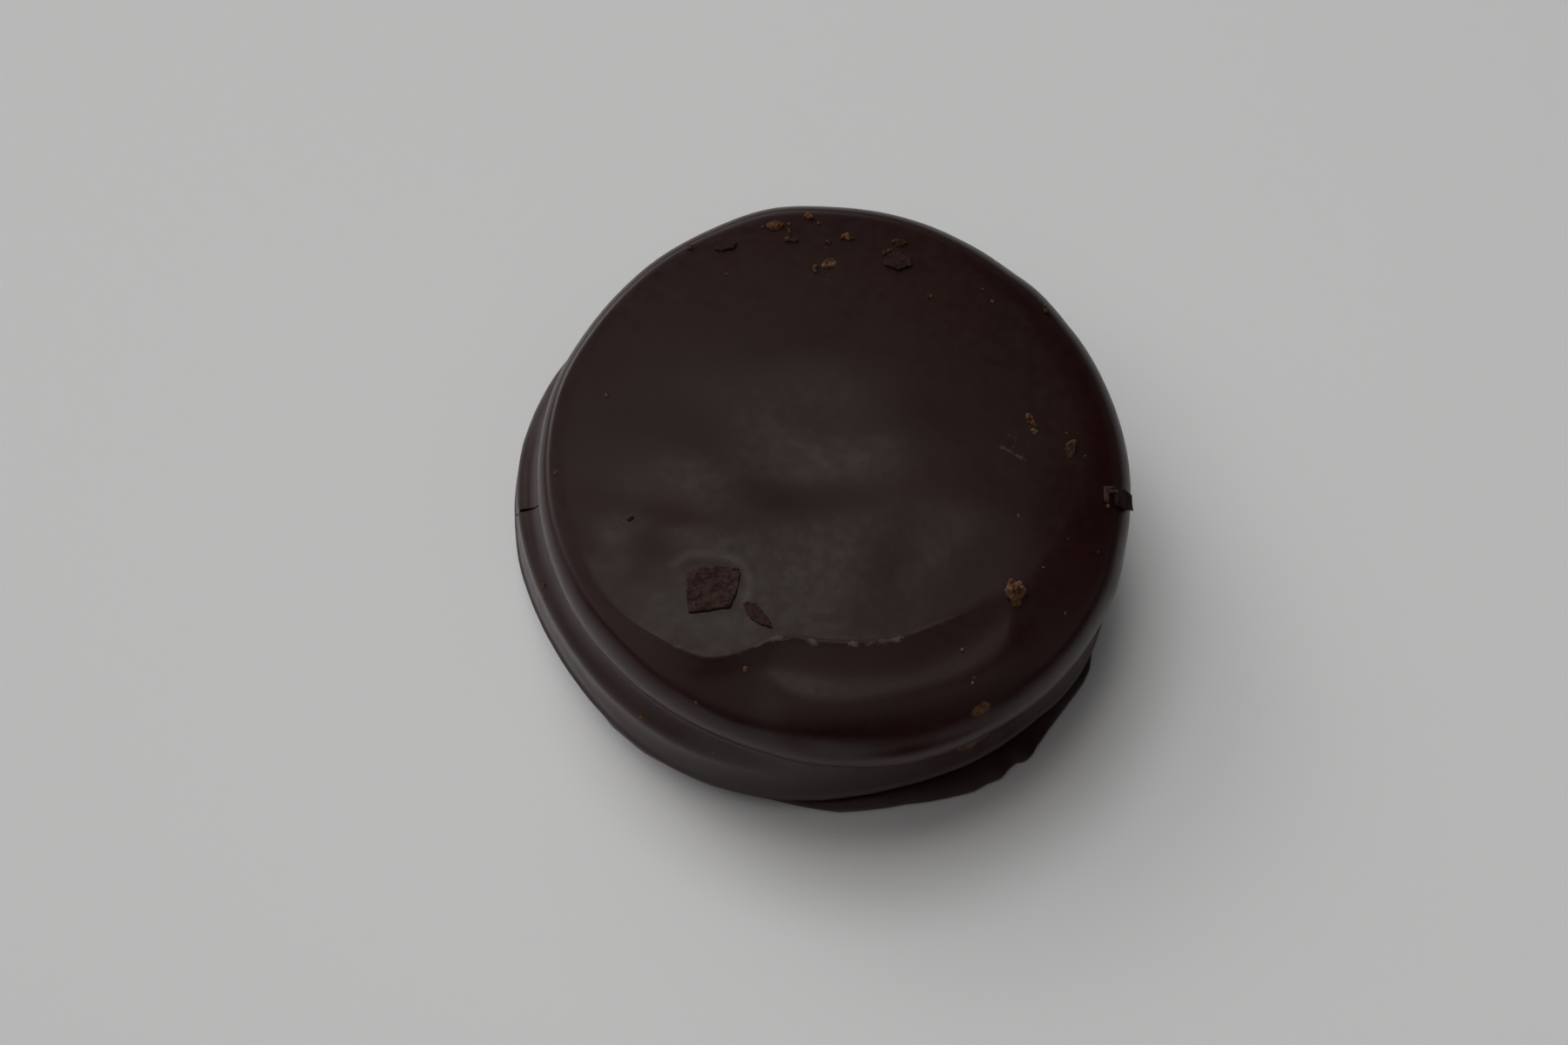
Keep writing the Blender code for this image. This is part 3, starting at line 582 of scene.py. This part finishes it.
def snapped(corners, draw):
    # an outline with two more points on each side, moved a little off it
    along, aside = flakes["nicks"]
    outline = []
    for start, end in zip(corners, corners[1:] + corners[:1]):
        start, end = Vector(start), Vector(end)
        across = Vector((end.y - start.y, start.x - end.x)).normalized()
        outline.append(start)
        for share in (0.33, 0.67):
            outline.append(start.lerp(end, share + draw.uniform(-along, along)) + across * draw.uniform(*aside))
    return outline


def makePlate(corners, height, draw):
    # a snapped plate about the origin: a disc set to its outline, drawn up from its root and widened
    outline = snapped(corners, draw)
    thin = min(flakes["thin"], height * 0.7)
    piece = add(bpy.ops.mesh.primitive_circle_add, vertices=len(outline), radius=mm, fill_type="NGON")
    for vertex, corner in zip(piece.data.vertices, outline):
        vertex.co = Vector((corner.x * flakes["stem"], corner.y * flakes["stem"], -flakes["root"])) * mm
    bpy.ops.object.mode_set(mode="EDIT")
    bpy.ops.mesh.select_all(action="SELECT")
    for up, size in ((flakes["root"] + height - thin, 1.0), (0.0, 1 / flakes["stem"]), (thin, flakes["rim"])):
        bpy.ops.mesh.extrude_region_move(TRANSFORM_OT_translate={"value": (0, 0, up * mm)})
        bpy.ops.transform.resize(value=(size, size, 1), center_override=(0, 0, 0))
    bpy.ops.mesh.select_all(action="SELECT")
    bpy.ops.mesh.normals_make_consistent(inside=False)
    bpy.ops.object.mode_set(mode="OBJECT")
    for vertex in piece.data.vertices:
        if vertex.co.z > (height - thin / 2) * mm:
            vertex.co.z += draw.uniform(-flakes["tilt"], flakes["tilt"]) * height * mm
    return piece


def makeFlakes():
    draw = random.Random(21)
    pieces, tinted = [], []
    for corners, height, lift, tint in flakes["plates"]:
        middle = sum((Vector(corner) for corner in corners), Vector((0, 0))) / len(corners)
        piece = makePlate([Vector(corner) - middle for corner in corners], height, draw)
        piece.data.transform(placeOnTop(*middle, lift=lift))
        pieces.append(piece)
        tinted.append((middle, tint))
    for x, y, length, width, height, turn, count, tint in flakes["small"]:
        corners = []
        for corner in range(count):
            angle = math.tau * (corner + draw.uniform(-0.2, 0.2)) / count
            reach = draw.uniform(0.87, 1.13) / 2
            corners.append((math.cos(angle) * length * reach, math.sin(angle) * width * reach))
        piece = makePlate(corners, height, draw)
        piece.data.transform(placeOnTop(x, y, turn))
        pieces.append(piece)
        tinted.append((Vector((x, y)), tint))
    piece = joinAll(pieces, "flakes")
    skinAll(piece, flakes, tinted, 50)
    return piece


flakesPiece = makeFlakes()
print("flakes made:", len(flakesPiece.data.polygons), "faces")

crumbs = {
    "voxel": 0.07,
    "rough": 0.11,
    "grain": 0.36,
    "layers": (1, 1, 1),
    "fine": 0.6,
    "fineGrain": 0.17,
    # x, y, length, width, height, turn, grains, colour (0 is cocoa brown, 1 is golden)
    "lumps": (
        (19.3, -13.65, 2.9, 2.9, 0.95, 20, 14, 0.75), (-4.35, 27.6, 2.1, 1.7, 0.45, 10, 8, 0.75),
        (-9.95, 24.75, 1.1, 0.45, 0.32, 15, 3, 0.8), (-3.05, 26.15, 1.0, 0.6, 0.28, 20, 4, 0.6),
        (-0.95, 28.8, 1.3, 1.0, 0.36, 0, 5, 1.0), (0.15, 28.0, 0.55, 0.45, 0.28, 15, 3, 0.8),
        (3.1, 26.35, 1.5, 1.0, 0.34, -10, 6, 0.95), (1.1, 25.7, 0.8, 0.6, 0.25, 0, 3, 0.8),
        (-0.3, 22.6, 0.6, 1.4, 0.3, -6, 5, 1.2), (-2.9, 27.85, 0.6, 0.5, 0.26, 0, 3, 1.0),
        (-2.85, 27.0, 0.8, 0.6, 0.26, 0, 3, 0.7), (7.2, 24.5, 1.7, 0.5, 0.42, 20, 4, 0.6),
        (11.55, 19.25, 0.8, 0.5, 0.28, 0, 3, 0.6), (-13.1, 25.1, 1.0, 0.7, 0.28, 28, 4, 0.5),
        (-18.63, -5.98, 0.85, 0.9, 0.4, 0, 3, 1.3), (14.0, -19.7, 0.8, 0.45, 0.28, -50, 3, 1.6),
        (23.4, 18.0, 1.1, 0.6, 0.32, -35, 4, 0.5), (28.8, -3.95, 0.7, 0.6, 0.4, 10, 4, 0.9),
    ),
    # hollow ones: x, y, length, width, height, turn, colour
    "rings": (
        (21.45, 4.8, 2.2, 1.05, 0.26, -66, 0.8), (25.3, 2.15, 2.0, 1.25, 0.3, 62, 0.55),
        (8.35, 25.65, 1.4, 0.95, 0.28, 0, 0.5), (1.2, 23.1, 1.4, 1.3, 0.32, 20, 1.5),
    ),
    # other colours inside some of them: place, colour
    "hollows": (
        (21.4, 4.7, -0.2), (21.15, 4.1, 1.6), (25.35, 2.1, -0.4), (25.1, 1.4, 0.2), (8.35, 25.6, -0.3),
        (1.2, 23.1, 0.2), (1.3, 22.6, 0.9), (19.35, -13.7, 0.25), (18.5, -13.1, 1.1), (19.5, -12.7, 1.4),
        (20.2, -13.6, 0.9), (19.6, -14.6, 0.7), (18.6, -14.2, 0.5),
    ),
    # a lump is a core with grains round it. Shares of its length, width and height: the core's half sizes and how
    # high it lies, how far out the grains are, and their half sizes
    "core": (0.36, 0.34, 0.75),
    "coreUp": 0.1,
    "grainReach": (0.15, 0.36),
    "grainSize": (0.10, 0.22),
    "grainWidth": (0.7, 1.2),
    "grainHeight": (0.3, 0.6),
    "grainUp": (0, 0.5),
    "ringSize": (0.35, 0.16),  # radius of a ring and of its tube, as shares of its length and width
    "ringFloor": 0.3,
}


def makeGrain(place, size, centre, turn):
    piece = add(bpy.ops.mesh.primitive_ico_sphere_add, subdivisions=2, radius=mm)
    bpy.ops.object.mode_set(mode="EDIT")
    bpy.ops.transform.resize(value=size)
    bpy.ops.object.mode_set(mode="OBJECT")
    piece.data.transform(place @ Matrix.Translation(Vector(centre) * mm) @ Matrix.Rotation(turn, 4, "Z"))
    return piece


def makeCrumbs():
    draw = random.Random(8)
    pieces = []
    for x, y, length, width, height, turn, grains, tint in crumbs["lumps"]:
        place = placeOnTop(x, y, turn)
        core = [side * part for side, part in zip((length, width, height), crumbs["core"])]
        pieces.append(makeGrain(place, core, (0, 0, height * crumbs["coreUp"]), draw.uniform(0, 3)))
        for grain in range(grains):
            angle = draw.uniform(0, math.tau)
            reach = draw.uniform(*crumbs["grainReach"])
            share = draw.uniform(*crumbs["grainSize"])
            size = (share * length, share * width * draw.uniform(*crumbs["grainWidth"]),
                    height * draw.uniform(*crumbs["grainHeight"]))
            centre = (math.cos(angle) * reach * length, math.sin(angle) * reach * width,
                      height * draw.uniform(*crumbs["grainUp"]))
            pieces.append(makeGrain(place, size, centre, draw.uniform(0, 3)))
    for x, y, length, width, height, turn, tint in crumbs["rings"]:
        ring, tube = crumbs["ringSize"]
        piece = add(bpy.ops.mesh.primitive_torus_add, major_segments=28, minor_segments=8,
                    major_radius=ring * mm, minor_radius=tube * mm)
        for vertex in piece.data.vertices:
            side = math.atan2(vertex.co.y, vertex.co.x)
            uneven = 1 + 0.16 * math.sin(2 * side + x) + 0.12 * math.sin(3 * side + y)
            vertex.co = Vector((vertex.co.x * length * uneven, vertex.co.y * width * uneven,
                                vertex.co.z * height * 5 * (0.8 + 0.5 * math.sin(side + y))))
        place = placeOnTop(x, y, turn)
        piece.data.transform(place)
        floor = [side * crumbs["ringFloor"] for side in (length, width, height)]
        pieces += [piece, makeGrain(place, floor, (0, 0, 0), 0)]
    piece = joinAll(pieces, "crumbs")
    tinted = [(Vector(crumb[:2]), crumb[-1]) for crumb in crumbs["lumps"] + crumbs["rings"] + crumbs["hollows"]]
    skinAll(piece, crumbs, tinted, 60)
    return piece


crumbsPiece = makeCrumbs()
print("crumbs made:", len(crumbsPiece.data.polygons), "faces")

specks = {
    # place near the surface, size, colour (0 is cocoa brown, 1 is golden, 2 is pale)
    "places": (
        ((-27.5, -9.5, 7.8), 0.5, 1.0), ((-27.6, -10.8, 7.4), 0.4, 1.0), ((-17.5, -23.7, 7.5), 0.5, 1.0),
        ((-12.1, -25.0, 14.3), 0.3, 1.0), ((-5.2, -29.5, 1.1), 0.5, 0.8), ((-10.3, -27.4, 7.8), 0.3, 2.0),
        ((-16.7, -24.7, 1.1), 0.4, 0.8), ((-7.2, -21.7, 15.0), 0.6, 0.8), ((22.1, -11.0, 15.3), 0.3, 1.7),
        ((24.25, -15.5, 14.5), 0.35, 1.5), ((-21.3, 7.8, 16.0), 0.4, 2.0), ((-26.2, -0.8, 15.9), 0.45, 1.6),
        ((16.9, 20.3, 15.4), 0.35, 1.6), ((17.8, 18.9, 15.5), 0.3, 1.6), ((14.9, -22.9, 14.4), 0.35, 1.0),
        ((0.95, 21.1, 15.8), 0.3, 1.2), ((0.85, 24.95, 15.0), 0.3, 1.4), ((23.4, 19.0, 14.6), 0.35, 1.5),
        ((24.7, -7.8, 15.0), 0.22, 0.7), ((27.6, -8.9, 14.3), 0.22, 0.6),
        ((-20.1, -6.9, 16.0), 0.25, 1.6), ((18.25, 2.2, 15.6), 0.2, 1.2), ((-9.3, 21.8, 15.8), 0.4, 1.3),
        ((19.8, -5.5, 15.4), 0.35, 1.7), ((24.9, 3.9, 15.4), 0.25, 1.7), ((26.7, 1.4, 15.4), 0.22, 1.7),
        ((-5.6, 27.5, 15.4), 0.4, 0.8), ((15.1, -22.5, 14.7), 0.4, 0.5),
    ),
}


def makeSpecks():
    draw = random.Random(5)
    pieces = []
    for place, size, tint in specks["places"]:
        spot, normal = coatPiece.closest_point_on_mesh(Vector(place) * mm)[1:3]
        piece = add(bpy.ops.mesh.primitive_ico_sphere_add, subdivisions=2, radius=size / 2 * mm)
        tints = piece.data.attributes.new(name="tint", type="FLOAT", domain="POINT")
        stretch = Vector((draw.uniform(0.8, 1.4), draw.uniform(0.7, 1.1), 0.7))
        for vertex in piece.data.vertices:
            rough = 1 + 0.5 * noise.noise(vertex.co / (size * 0.45 * mm) + Vector(place))
            vertex.co = vertex.co * stretch * rough
            tints.data[vertex.index].value = tint
        turn = Vector((0, 0, 1)).rotation_difference(normal).to_matrix().to_4x4()
        spin = Matrix.Rotation(draw.uniform(0, math.tau), 4, "Z")
        piece.data.transform(Matrix.Translation(spot) @ turn @ spin)
        pieces.append(piece)
    piece = joinAll(pieces, "specks")
    shadeSmooth(piece, 60)
    return piece


specksPiece = makeSpecks()
print("specks made:", len(specksPiece.data.polygons), "faces")


def newMaterial(name):
    material = bpy.data.materials.new(name)
    material.use_nodes = True
    return material, material.node_tree


def node(tree, kind, inputs=None, **settings):
    made = tree.nodes.new(kind)
    for name, value in settings.items():
        setattr(made, name, value)
    for name, value in (inputs or {}).items():
        made.inputs[name].default_value = value
    return made


def noiseAt(tree, place, scale, detail, roughness):
    made = node(tree, "ShaderNodeTexNoise", {"Scale": scale, "Detail": detail, "Roughness": roughness})
    tree.links.new(place, made.inputs["Vector"])
    return made.outputs["Fac"]


def between(tree, value, low, high, outLow=0.0, outHigh=1.0, smooth=True):
    made = node(tree, "ShaderNodeMapRange", {"From Min": low, "From Max": high, "To Min": outLow, "To Max": outHigh})
    made.interpolation_type = "SMOOTHSTEP" if smooth else "LINEAR"
    tree.links.new(value, made.inputs["Value"])
    return made.outputs["Result"]


def mixColours(tree, share, first, second):
    made = node(tree, "ShaderNodeMix", data_type="RGBA")
    for socket, value in ((made.inputs[0], share), (made.inputs[6], first), (made.inputs[7], second)):
        if hasattr(value, "is_linked"):
            tree.links.new(value, socket)
        elif isinstance(value, float):
            socket.default_value = value
        else:
            socket.default_value = (*value, 1.0)
    return made.outputs[2]


def maths(tree, kind, first, second):
    made = node(tree, "ShaderNodeMath", operation=kind)
    for socket, value in ((made.inputs[0], first), (made.inputs[1], second)):
        if hasattr(value, "is_linked"):
            tree.links.new(value, socket)
        else:
            socket.default_value = value
    return made.outputs[0]


def times(tree, value, factor):
    return maths(tree, "MULTIPLY", value, factor)


def bumpFrom(tree, height, strength, distance, normal=None):
    made = node(tree, "ShaderNodeBump", {"Strength": strength, "Distance": distance})
    tree.links.new(height, made.inputs["Height"])
    if normal is not None:
        tree.links.new(normal, made.inputs["Normal"])
    return made.outputs["Normal"]


chocolate = {
    "deep": (0.0215, 0.0028, 0.0027),
    "warm": (0.0270, 0.0042, 0.0034),
    "bloom": (0.0300, 0.0120, 0.0098),
    "smear": (0.068, 0.053, 0.046),
    # pale of worn places, which along the ridge is also a painted highlight
    "wornAndHighlight": (0.140, 0.106, 0.096),
    "biscuit": (0.160, 0.066, 0.018),
    "biscuitDark": (0.035, 0.013, 0.006),
    "roughLow": 0.29,
    "roughHigh": 0.35,
    "wornRough": 0.3,  # how much rougher the worn and bare places are
    "refraction": 1.46,
    # noise: how fine, how many levels, how strong the finer ones are
    "patches": (70.0, 3.0, 0.55),
    "mottle": (900.0, 4.0, 0.6),
    "grain": (5200.0, 3.0, 0.6),
    # how much bloom and film there can be, and how far the noise breaks up the edges of the marks
    "bloomMost": 0.12,
    "filmMost": 0.75,
    "brokenFine": 1.6,
    "brokenCoarse": 2.0,
    "bareBroken": 0.7,
    # relief: strength, and depth in metres
    "mottleRelief": (0.2, 0.00003),
    "grainRelief": (0.2, 0.00002),
}


def chocolateMaterial():
    material, tree = newMaterial("darkChocolate")
    shader = tree.nodes["Principled BSDF"]
    place = node(tree, "ShaderNodeTexCoord").outputs["Object"]
    patches = noiseAt(tree, place, *chocolate["patches"])
    mottle = noiseAt(tree, place, *chocolate["mottle"])
    grain = noiseAt(tree, place, *chocolate["grain"])
    painted = node(tree, "ShaderNodeAttribute", attribute_name="marks")
    split = node(tree, "ShaderNodeSeparateColor")
    tree.links.new(painted.outputs["Color"], split.inputs["Color"])

    colour = mixColours(tree, between(tree, patches, 0.35, 0.68), chocolate["deep"], chocolate["warm"])
    hazy = times(tree, between(tree, mottle, 0.45, 0.75), chocolate["bloomMost"])
    colour = mixColours(tree, hazy, colour, chocolate["bloom"])
    film = times(tree, split.outputs[2], chocolate["filmMost"])
    colour = mixColours(tree, film, colour, chocolate["smear"])

    # the marks get crisp broken edges from the noise
    broken = times(tree, maths(tree, "SUBTRACT", grain, 0.5), chocolate["brokenFine"])
    uneven = times(tree, maths(tree, "SUBTRACT", mottle, 0.5), chocolate["brokenCoarse"])
    # pale worn places and, along the ridge, a painted highlight
    wornAndHighlight = between(tree, maths(tree, "ADD", split.outputs[0], maths(tree, "ADD", broken, uneven)), 0.45, 0.85)
    wornAndHighlight = times(tree, wornAndHighlight, split.outputs[0])
    colour = mixColours(tree, wornAndHighlight, colour, chocolate["wornAndHighlight"])
    bare = maths(tree, "ADD", split.outputs[1], times(tree, broken, chocolate["bareBroken"]))
    bare = between(tree, bare, 0.4, 0.55)
    biscuit = mixColours(tree, between(tree, mottle, 0.35, 0.65), chocolate["biscuitDark"], chocolate["biscuit"])
    colour = mixColours(tree, bare, colour, biscuit)
    tree.links.new(colour, shader.inputs["Base Color"])

    rough = between(tree, mottle, 0.3, 0.7, chocolate["roughLow"], chocolate["roughHigh"])
    marked = times(tree, maths(tree, "MAXIMUM", wornAndHighlight, bare), chocolate["wornRough"])
    tree.links.new(maths(tree, "ADD", rough, marked), shader.inputs["Roughness"])
    shader.inputs["IOR"].default_value = chocolate["refraction"]

    relief = bumpFrom(tree, mottle, *chocolate["mottleRelief"])
    relief = bumpFrom(tree, grain, *chocolate["grainRelief"], relief)
    tree.links.new(relief, shader.inputs["Normal"])
    return material


def brokenMaterial(name, finish):
    # an open face with coarse and fine grain: the material, its tree, the painted tint and the grain
    material, tree = newMaterial(name)
    shader = tree.nodes["Principled BSDF"]
    place = node(tree, "ShaderNodeTexCoord").outputs["Object"]
    tint = node(tree, "ShaderNodeAttribute", attribute_name="tint").outputs["Fac"]
    coarse = noiseAt(tree, place, *finish["coarse"])
    fine = noiseAt(tree, place, *finish["fine"])
    share = finish["coarseShare"]
    both = maths(tree, "ADD", times(tree, coarse, share), times(tree, fine, 1 - share))
    shader.inputs["Roughness"].default_value = finish["rough"]
    shader.inputs["Specular IOR Level"].default_value = finish["shine"]
    relief = bumpFrom(tree, coarse, *finish["coarseRelief"])
    relief = bumpFrom(tree, fine, *finish["fineRelief"], relief)
    tree.links.new(relief, shader.inputs["Normal"])
    return material, tree, tint, both


flakeFinish = {
    "dark": (0.0270, 0.0075, 0.0062),
    "pale": (0.105, 0.064, 0.057),
    "rough": 0.6,
    "shine": 0.15,
    # noise and relief as for the chocolate
    "coarse": (1300.0, 4.0, 0.6),
    "fine": (6500.0, 3.0, 0.6),
    "coarseShare": 0.6,
    "coarseRelief": (0.4, 0.0002),
    "fineRelief": (0.4, 0.00006),
}


def flakeMaterial():
    material, tree, tint, grain = brokenMaterial("snappedChocolate", flakeFinish)
    share = times(tree, tint, between(tree, grain, 0.36, 0.60))
    colour = mixColours(tree, share, flakeFinish["dark"], flakeFinish["pale"])
    tree.links.new(colour, tree.nodes["Principled BSDF"].inputs["Base Color"])
    return material


crumbFinish = {
    "cocoa": (0.028, 0.010, 0.005),
    "golden": (0.245, 0.106, 0.038),
    "pale": (0.22, 0.16, 0.13),
    "rough": 0.75,
    "shine": 0.3,
    # noise and relief as for the chocolate
    "coarse": (1800.0, 4.0, 0.65),
    "fine": (7500.0, 3.0, 0.6),
    "coarseShare": 0.65,
    "coarseRelief": (0.5, 0.0002),
    "fineRelief": (0.5, 0.00006),
}


def crumbMaterial():
    material, tree, tint, grain = brokenMaterial("biscuitCrumb", crumbFinish)
    share = between(tree, tint, 0.0, 1.0, smooth=False)
    colour = mixColours(tree, share, crumbFinish["cocoa"], crumbFinish["golden"])
    colour = mixColours(tree, between(tree, tint, 1.0, 2.0, smooth=False), colour, crumbFinish["pale"])
    colour = mixColours(tree, between(tree, grain, 0.62, 0.36), colour, crumbFinish["cocoa"])
    tree.links.new(colour, tree.nodes["Principled BSDF"].inputs["Base Color"])
    return material


def dress(piece, material):
    # in place of the empty slot that the cutting leaves
    piece.data.materials.clear()
    piece.data.materials.append(material)


dress(coatPiece, chocolateMaterial())
dress(flakesPiece, flakeMaterial())
biscuit = crumbMaterial()
dress(crumbsPiece, biscuit)
dress(specksPiece, biscuit)
print("materials made")

studio = {
    "table": (0.87, 0.885, 0.905),
    "tableRough": 0.38,
    # the table glows a little, more and more between these distances from a place near the alfajor, so the missing
    # glow round it is a painted shadow
    "tableGlow": 0.22,
    "paintedShadowCentre": (5, -10, 0),
    "paintedShadowReach": (22, 36),
    "sky": (1.0, 0.965, 0.93),
    "skyStrength": 0.003,
    # round lights a metre away: direction, how high they stand, width in metres, power in watts. The first has a
    # hard edge and its own colour
    "glow": (95, 70, 0.284, 0.41, (1.0, 0.96, 0.86)),
    "lights": (
        (0, 9, 0.6, 0.006), (180, 9, 0.6, 0.015), (210, 9, 0.6, 0.016), (240, 9, 0.6, 0.022),
        (270, 9, 0.6, 0.021), (300, 9, 0.6, 0.014), (330, 9, 0.6, 0.009), (35, 25, 0.7, 0.006),
        (70, 25, 0.7, 0.01), (100, 25, 0.7, 0.08), (130, 25, 0.7, 0.27), (160, 25, 0.7, 0.0755),
        (270, 25, 0.7, 0.003), (0, 45, 0.7, 0.0137), (150, 45, 0.7, 0.0451), (180, 45, 0.7, 0.032),
        (225, 45, 0.7, 0.016), (315, 45, 0.7, 0.0078), (150, 64, 0.6, 0.0079), (200, 66, 0.6, 0.018),
        (330, 66, 0.6, 0.0108), (270, 70, 0.6, 0.0075), (0, 90, 0.6, 0.0094),
    ),
    # camera: where it looks, how far away it is, how high it stands, its lens and sensor width
    "look": (-3.45, -2.63, 8.0),
    "distance": 372.0,
    "elevation": 65.0,
    "lens": 55.0,
    "sensor": 23.5,
    "tableSize": 4,  # metres
    "nearest": 0.01,  # the camera sees nothing nearer, in metres
}


def tableMaterial():
    material, tree = newMaterial("paleTable")
    shader = tree.nodes["Principled BSDF"]
    shader.inputs["Base Color"].default_value = (*studio["table"], 1.0)
    shader.inputs["Roughness"].default_value = studio["tableRough"]
    shader.inputs["Emission Color"].default_value = (*studio["table"], 1.0)
    place = node(tree, "ShaderNodeTexCoord").outputs["Object"]
    away = node(tree, "ShaderNodeVectorMath", operation="DISTANCE")
    tree.links.new(place, away.inputs[0])
    away.inputs[1].default_value = [size * mm for size in studio["paintedShadowCentre"]]
    # painted shadow: the table's glow fades to nothing near the alfajor
    near, far = studio["paintedShadowReach"]
    glow = between(tree, away.outputs["Value"], near * mm, far * mm, 0.0, studio["tableGlow"])
    tree.links.new(glow, shader.inputs["Emission Strength"])
    return material


def roundLight(direction, high, width, power, colour, softEdge):
    direction, high = math.radians(direction), math.radians(high)
    place = Vector((math.cos(direction) * math.cos(high), math.sin(direction) * math.cos(high), math.sin(high)))
    light = add(bpy.ops.object.light_add, type="AREA", location=place)
    light.data.shape = "DISK"
    light.data.size = width
    if softEdge:
        light.data.spread = 2 * math.atan(width / 2)
    light.data.energy = power
    light.data.color = colour
    light.rotation_euler = place.to_track_quat("Z", "Y").to_euler()


table = add(bpy.ops.mesh.primitive_plane_add, size=studio["tableSize"])
table.name = table.data.name = "table"
dress(table, tableMaterial())

world = bpy.data.worlds.new("studio")
bpy.context.scene.world = world
world.use_nodes = True
background = world.node_tree.nodes["Background"]
background.inputs["Color"].default_value = (*studio["sky"], 1.0)
background.inputs["Strength"].default_value = studio["skyStrength"]
roundLight(*studio["glow"], softEdge=False)
for values in studio["lights"]:
    roundLight(*values, studio["sky"], softEdge=True)

elevation = math.radians(studio["elevation"])
ahead = Vector((0, math.cos(elevation), -math.sin(elevation)))
camera = add(bpy.ops.object.camera_add, location=(Vector(studio["look"]) - ahead * studio["distance"]) * mm,
             rotation=(math.pi / 2 - elevation, 0, 0))
camera.data.lens = studio["lens"]
camera.data.sensor_width = studio["sensor"]
camera.data.clip_start = studio["nearest"]
bpy.context.scene.camera = camera
bpy.context.scene.view_settings.view_transform = "Standard"
print("studio made")

for piece, slot in ((coatPiece, "dark_chocolate"), (flakesPiece, "dark_chocolate"),
                    (crumbsPiece, "biscuit_crumb"), (specksPiece, "biscuit_crumb")):
    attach(piece, "root")
    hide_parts("alfajor")
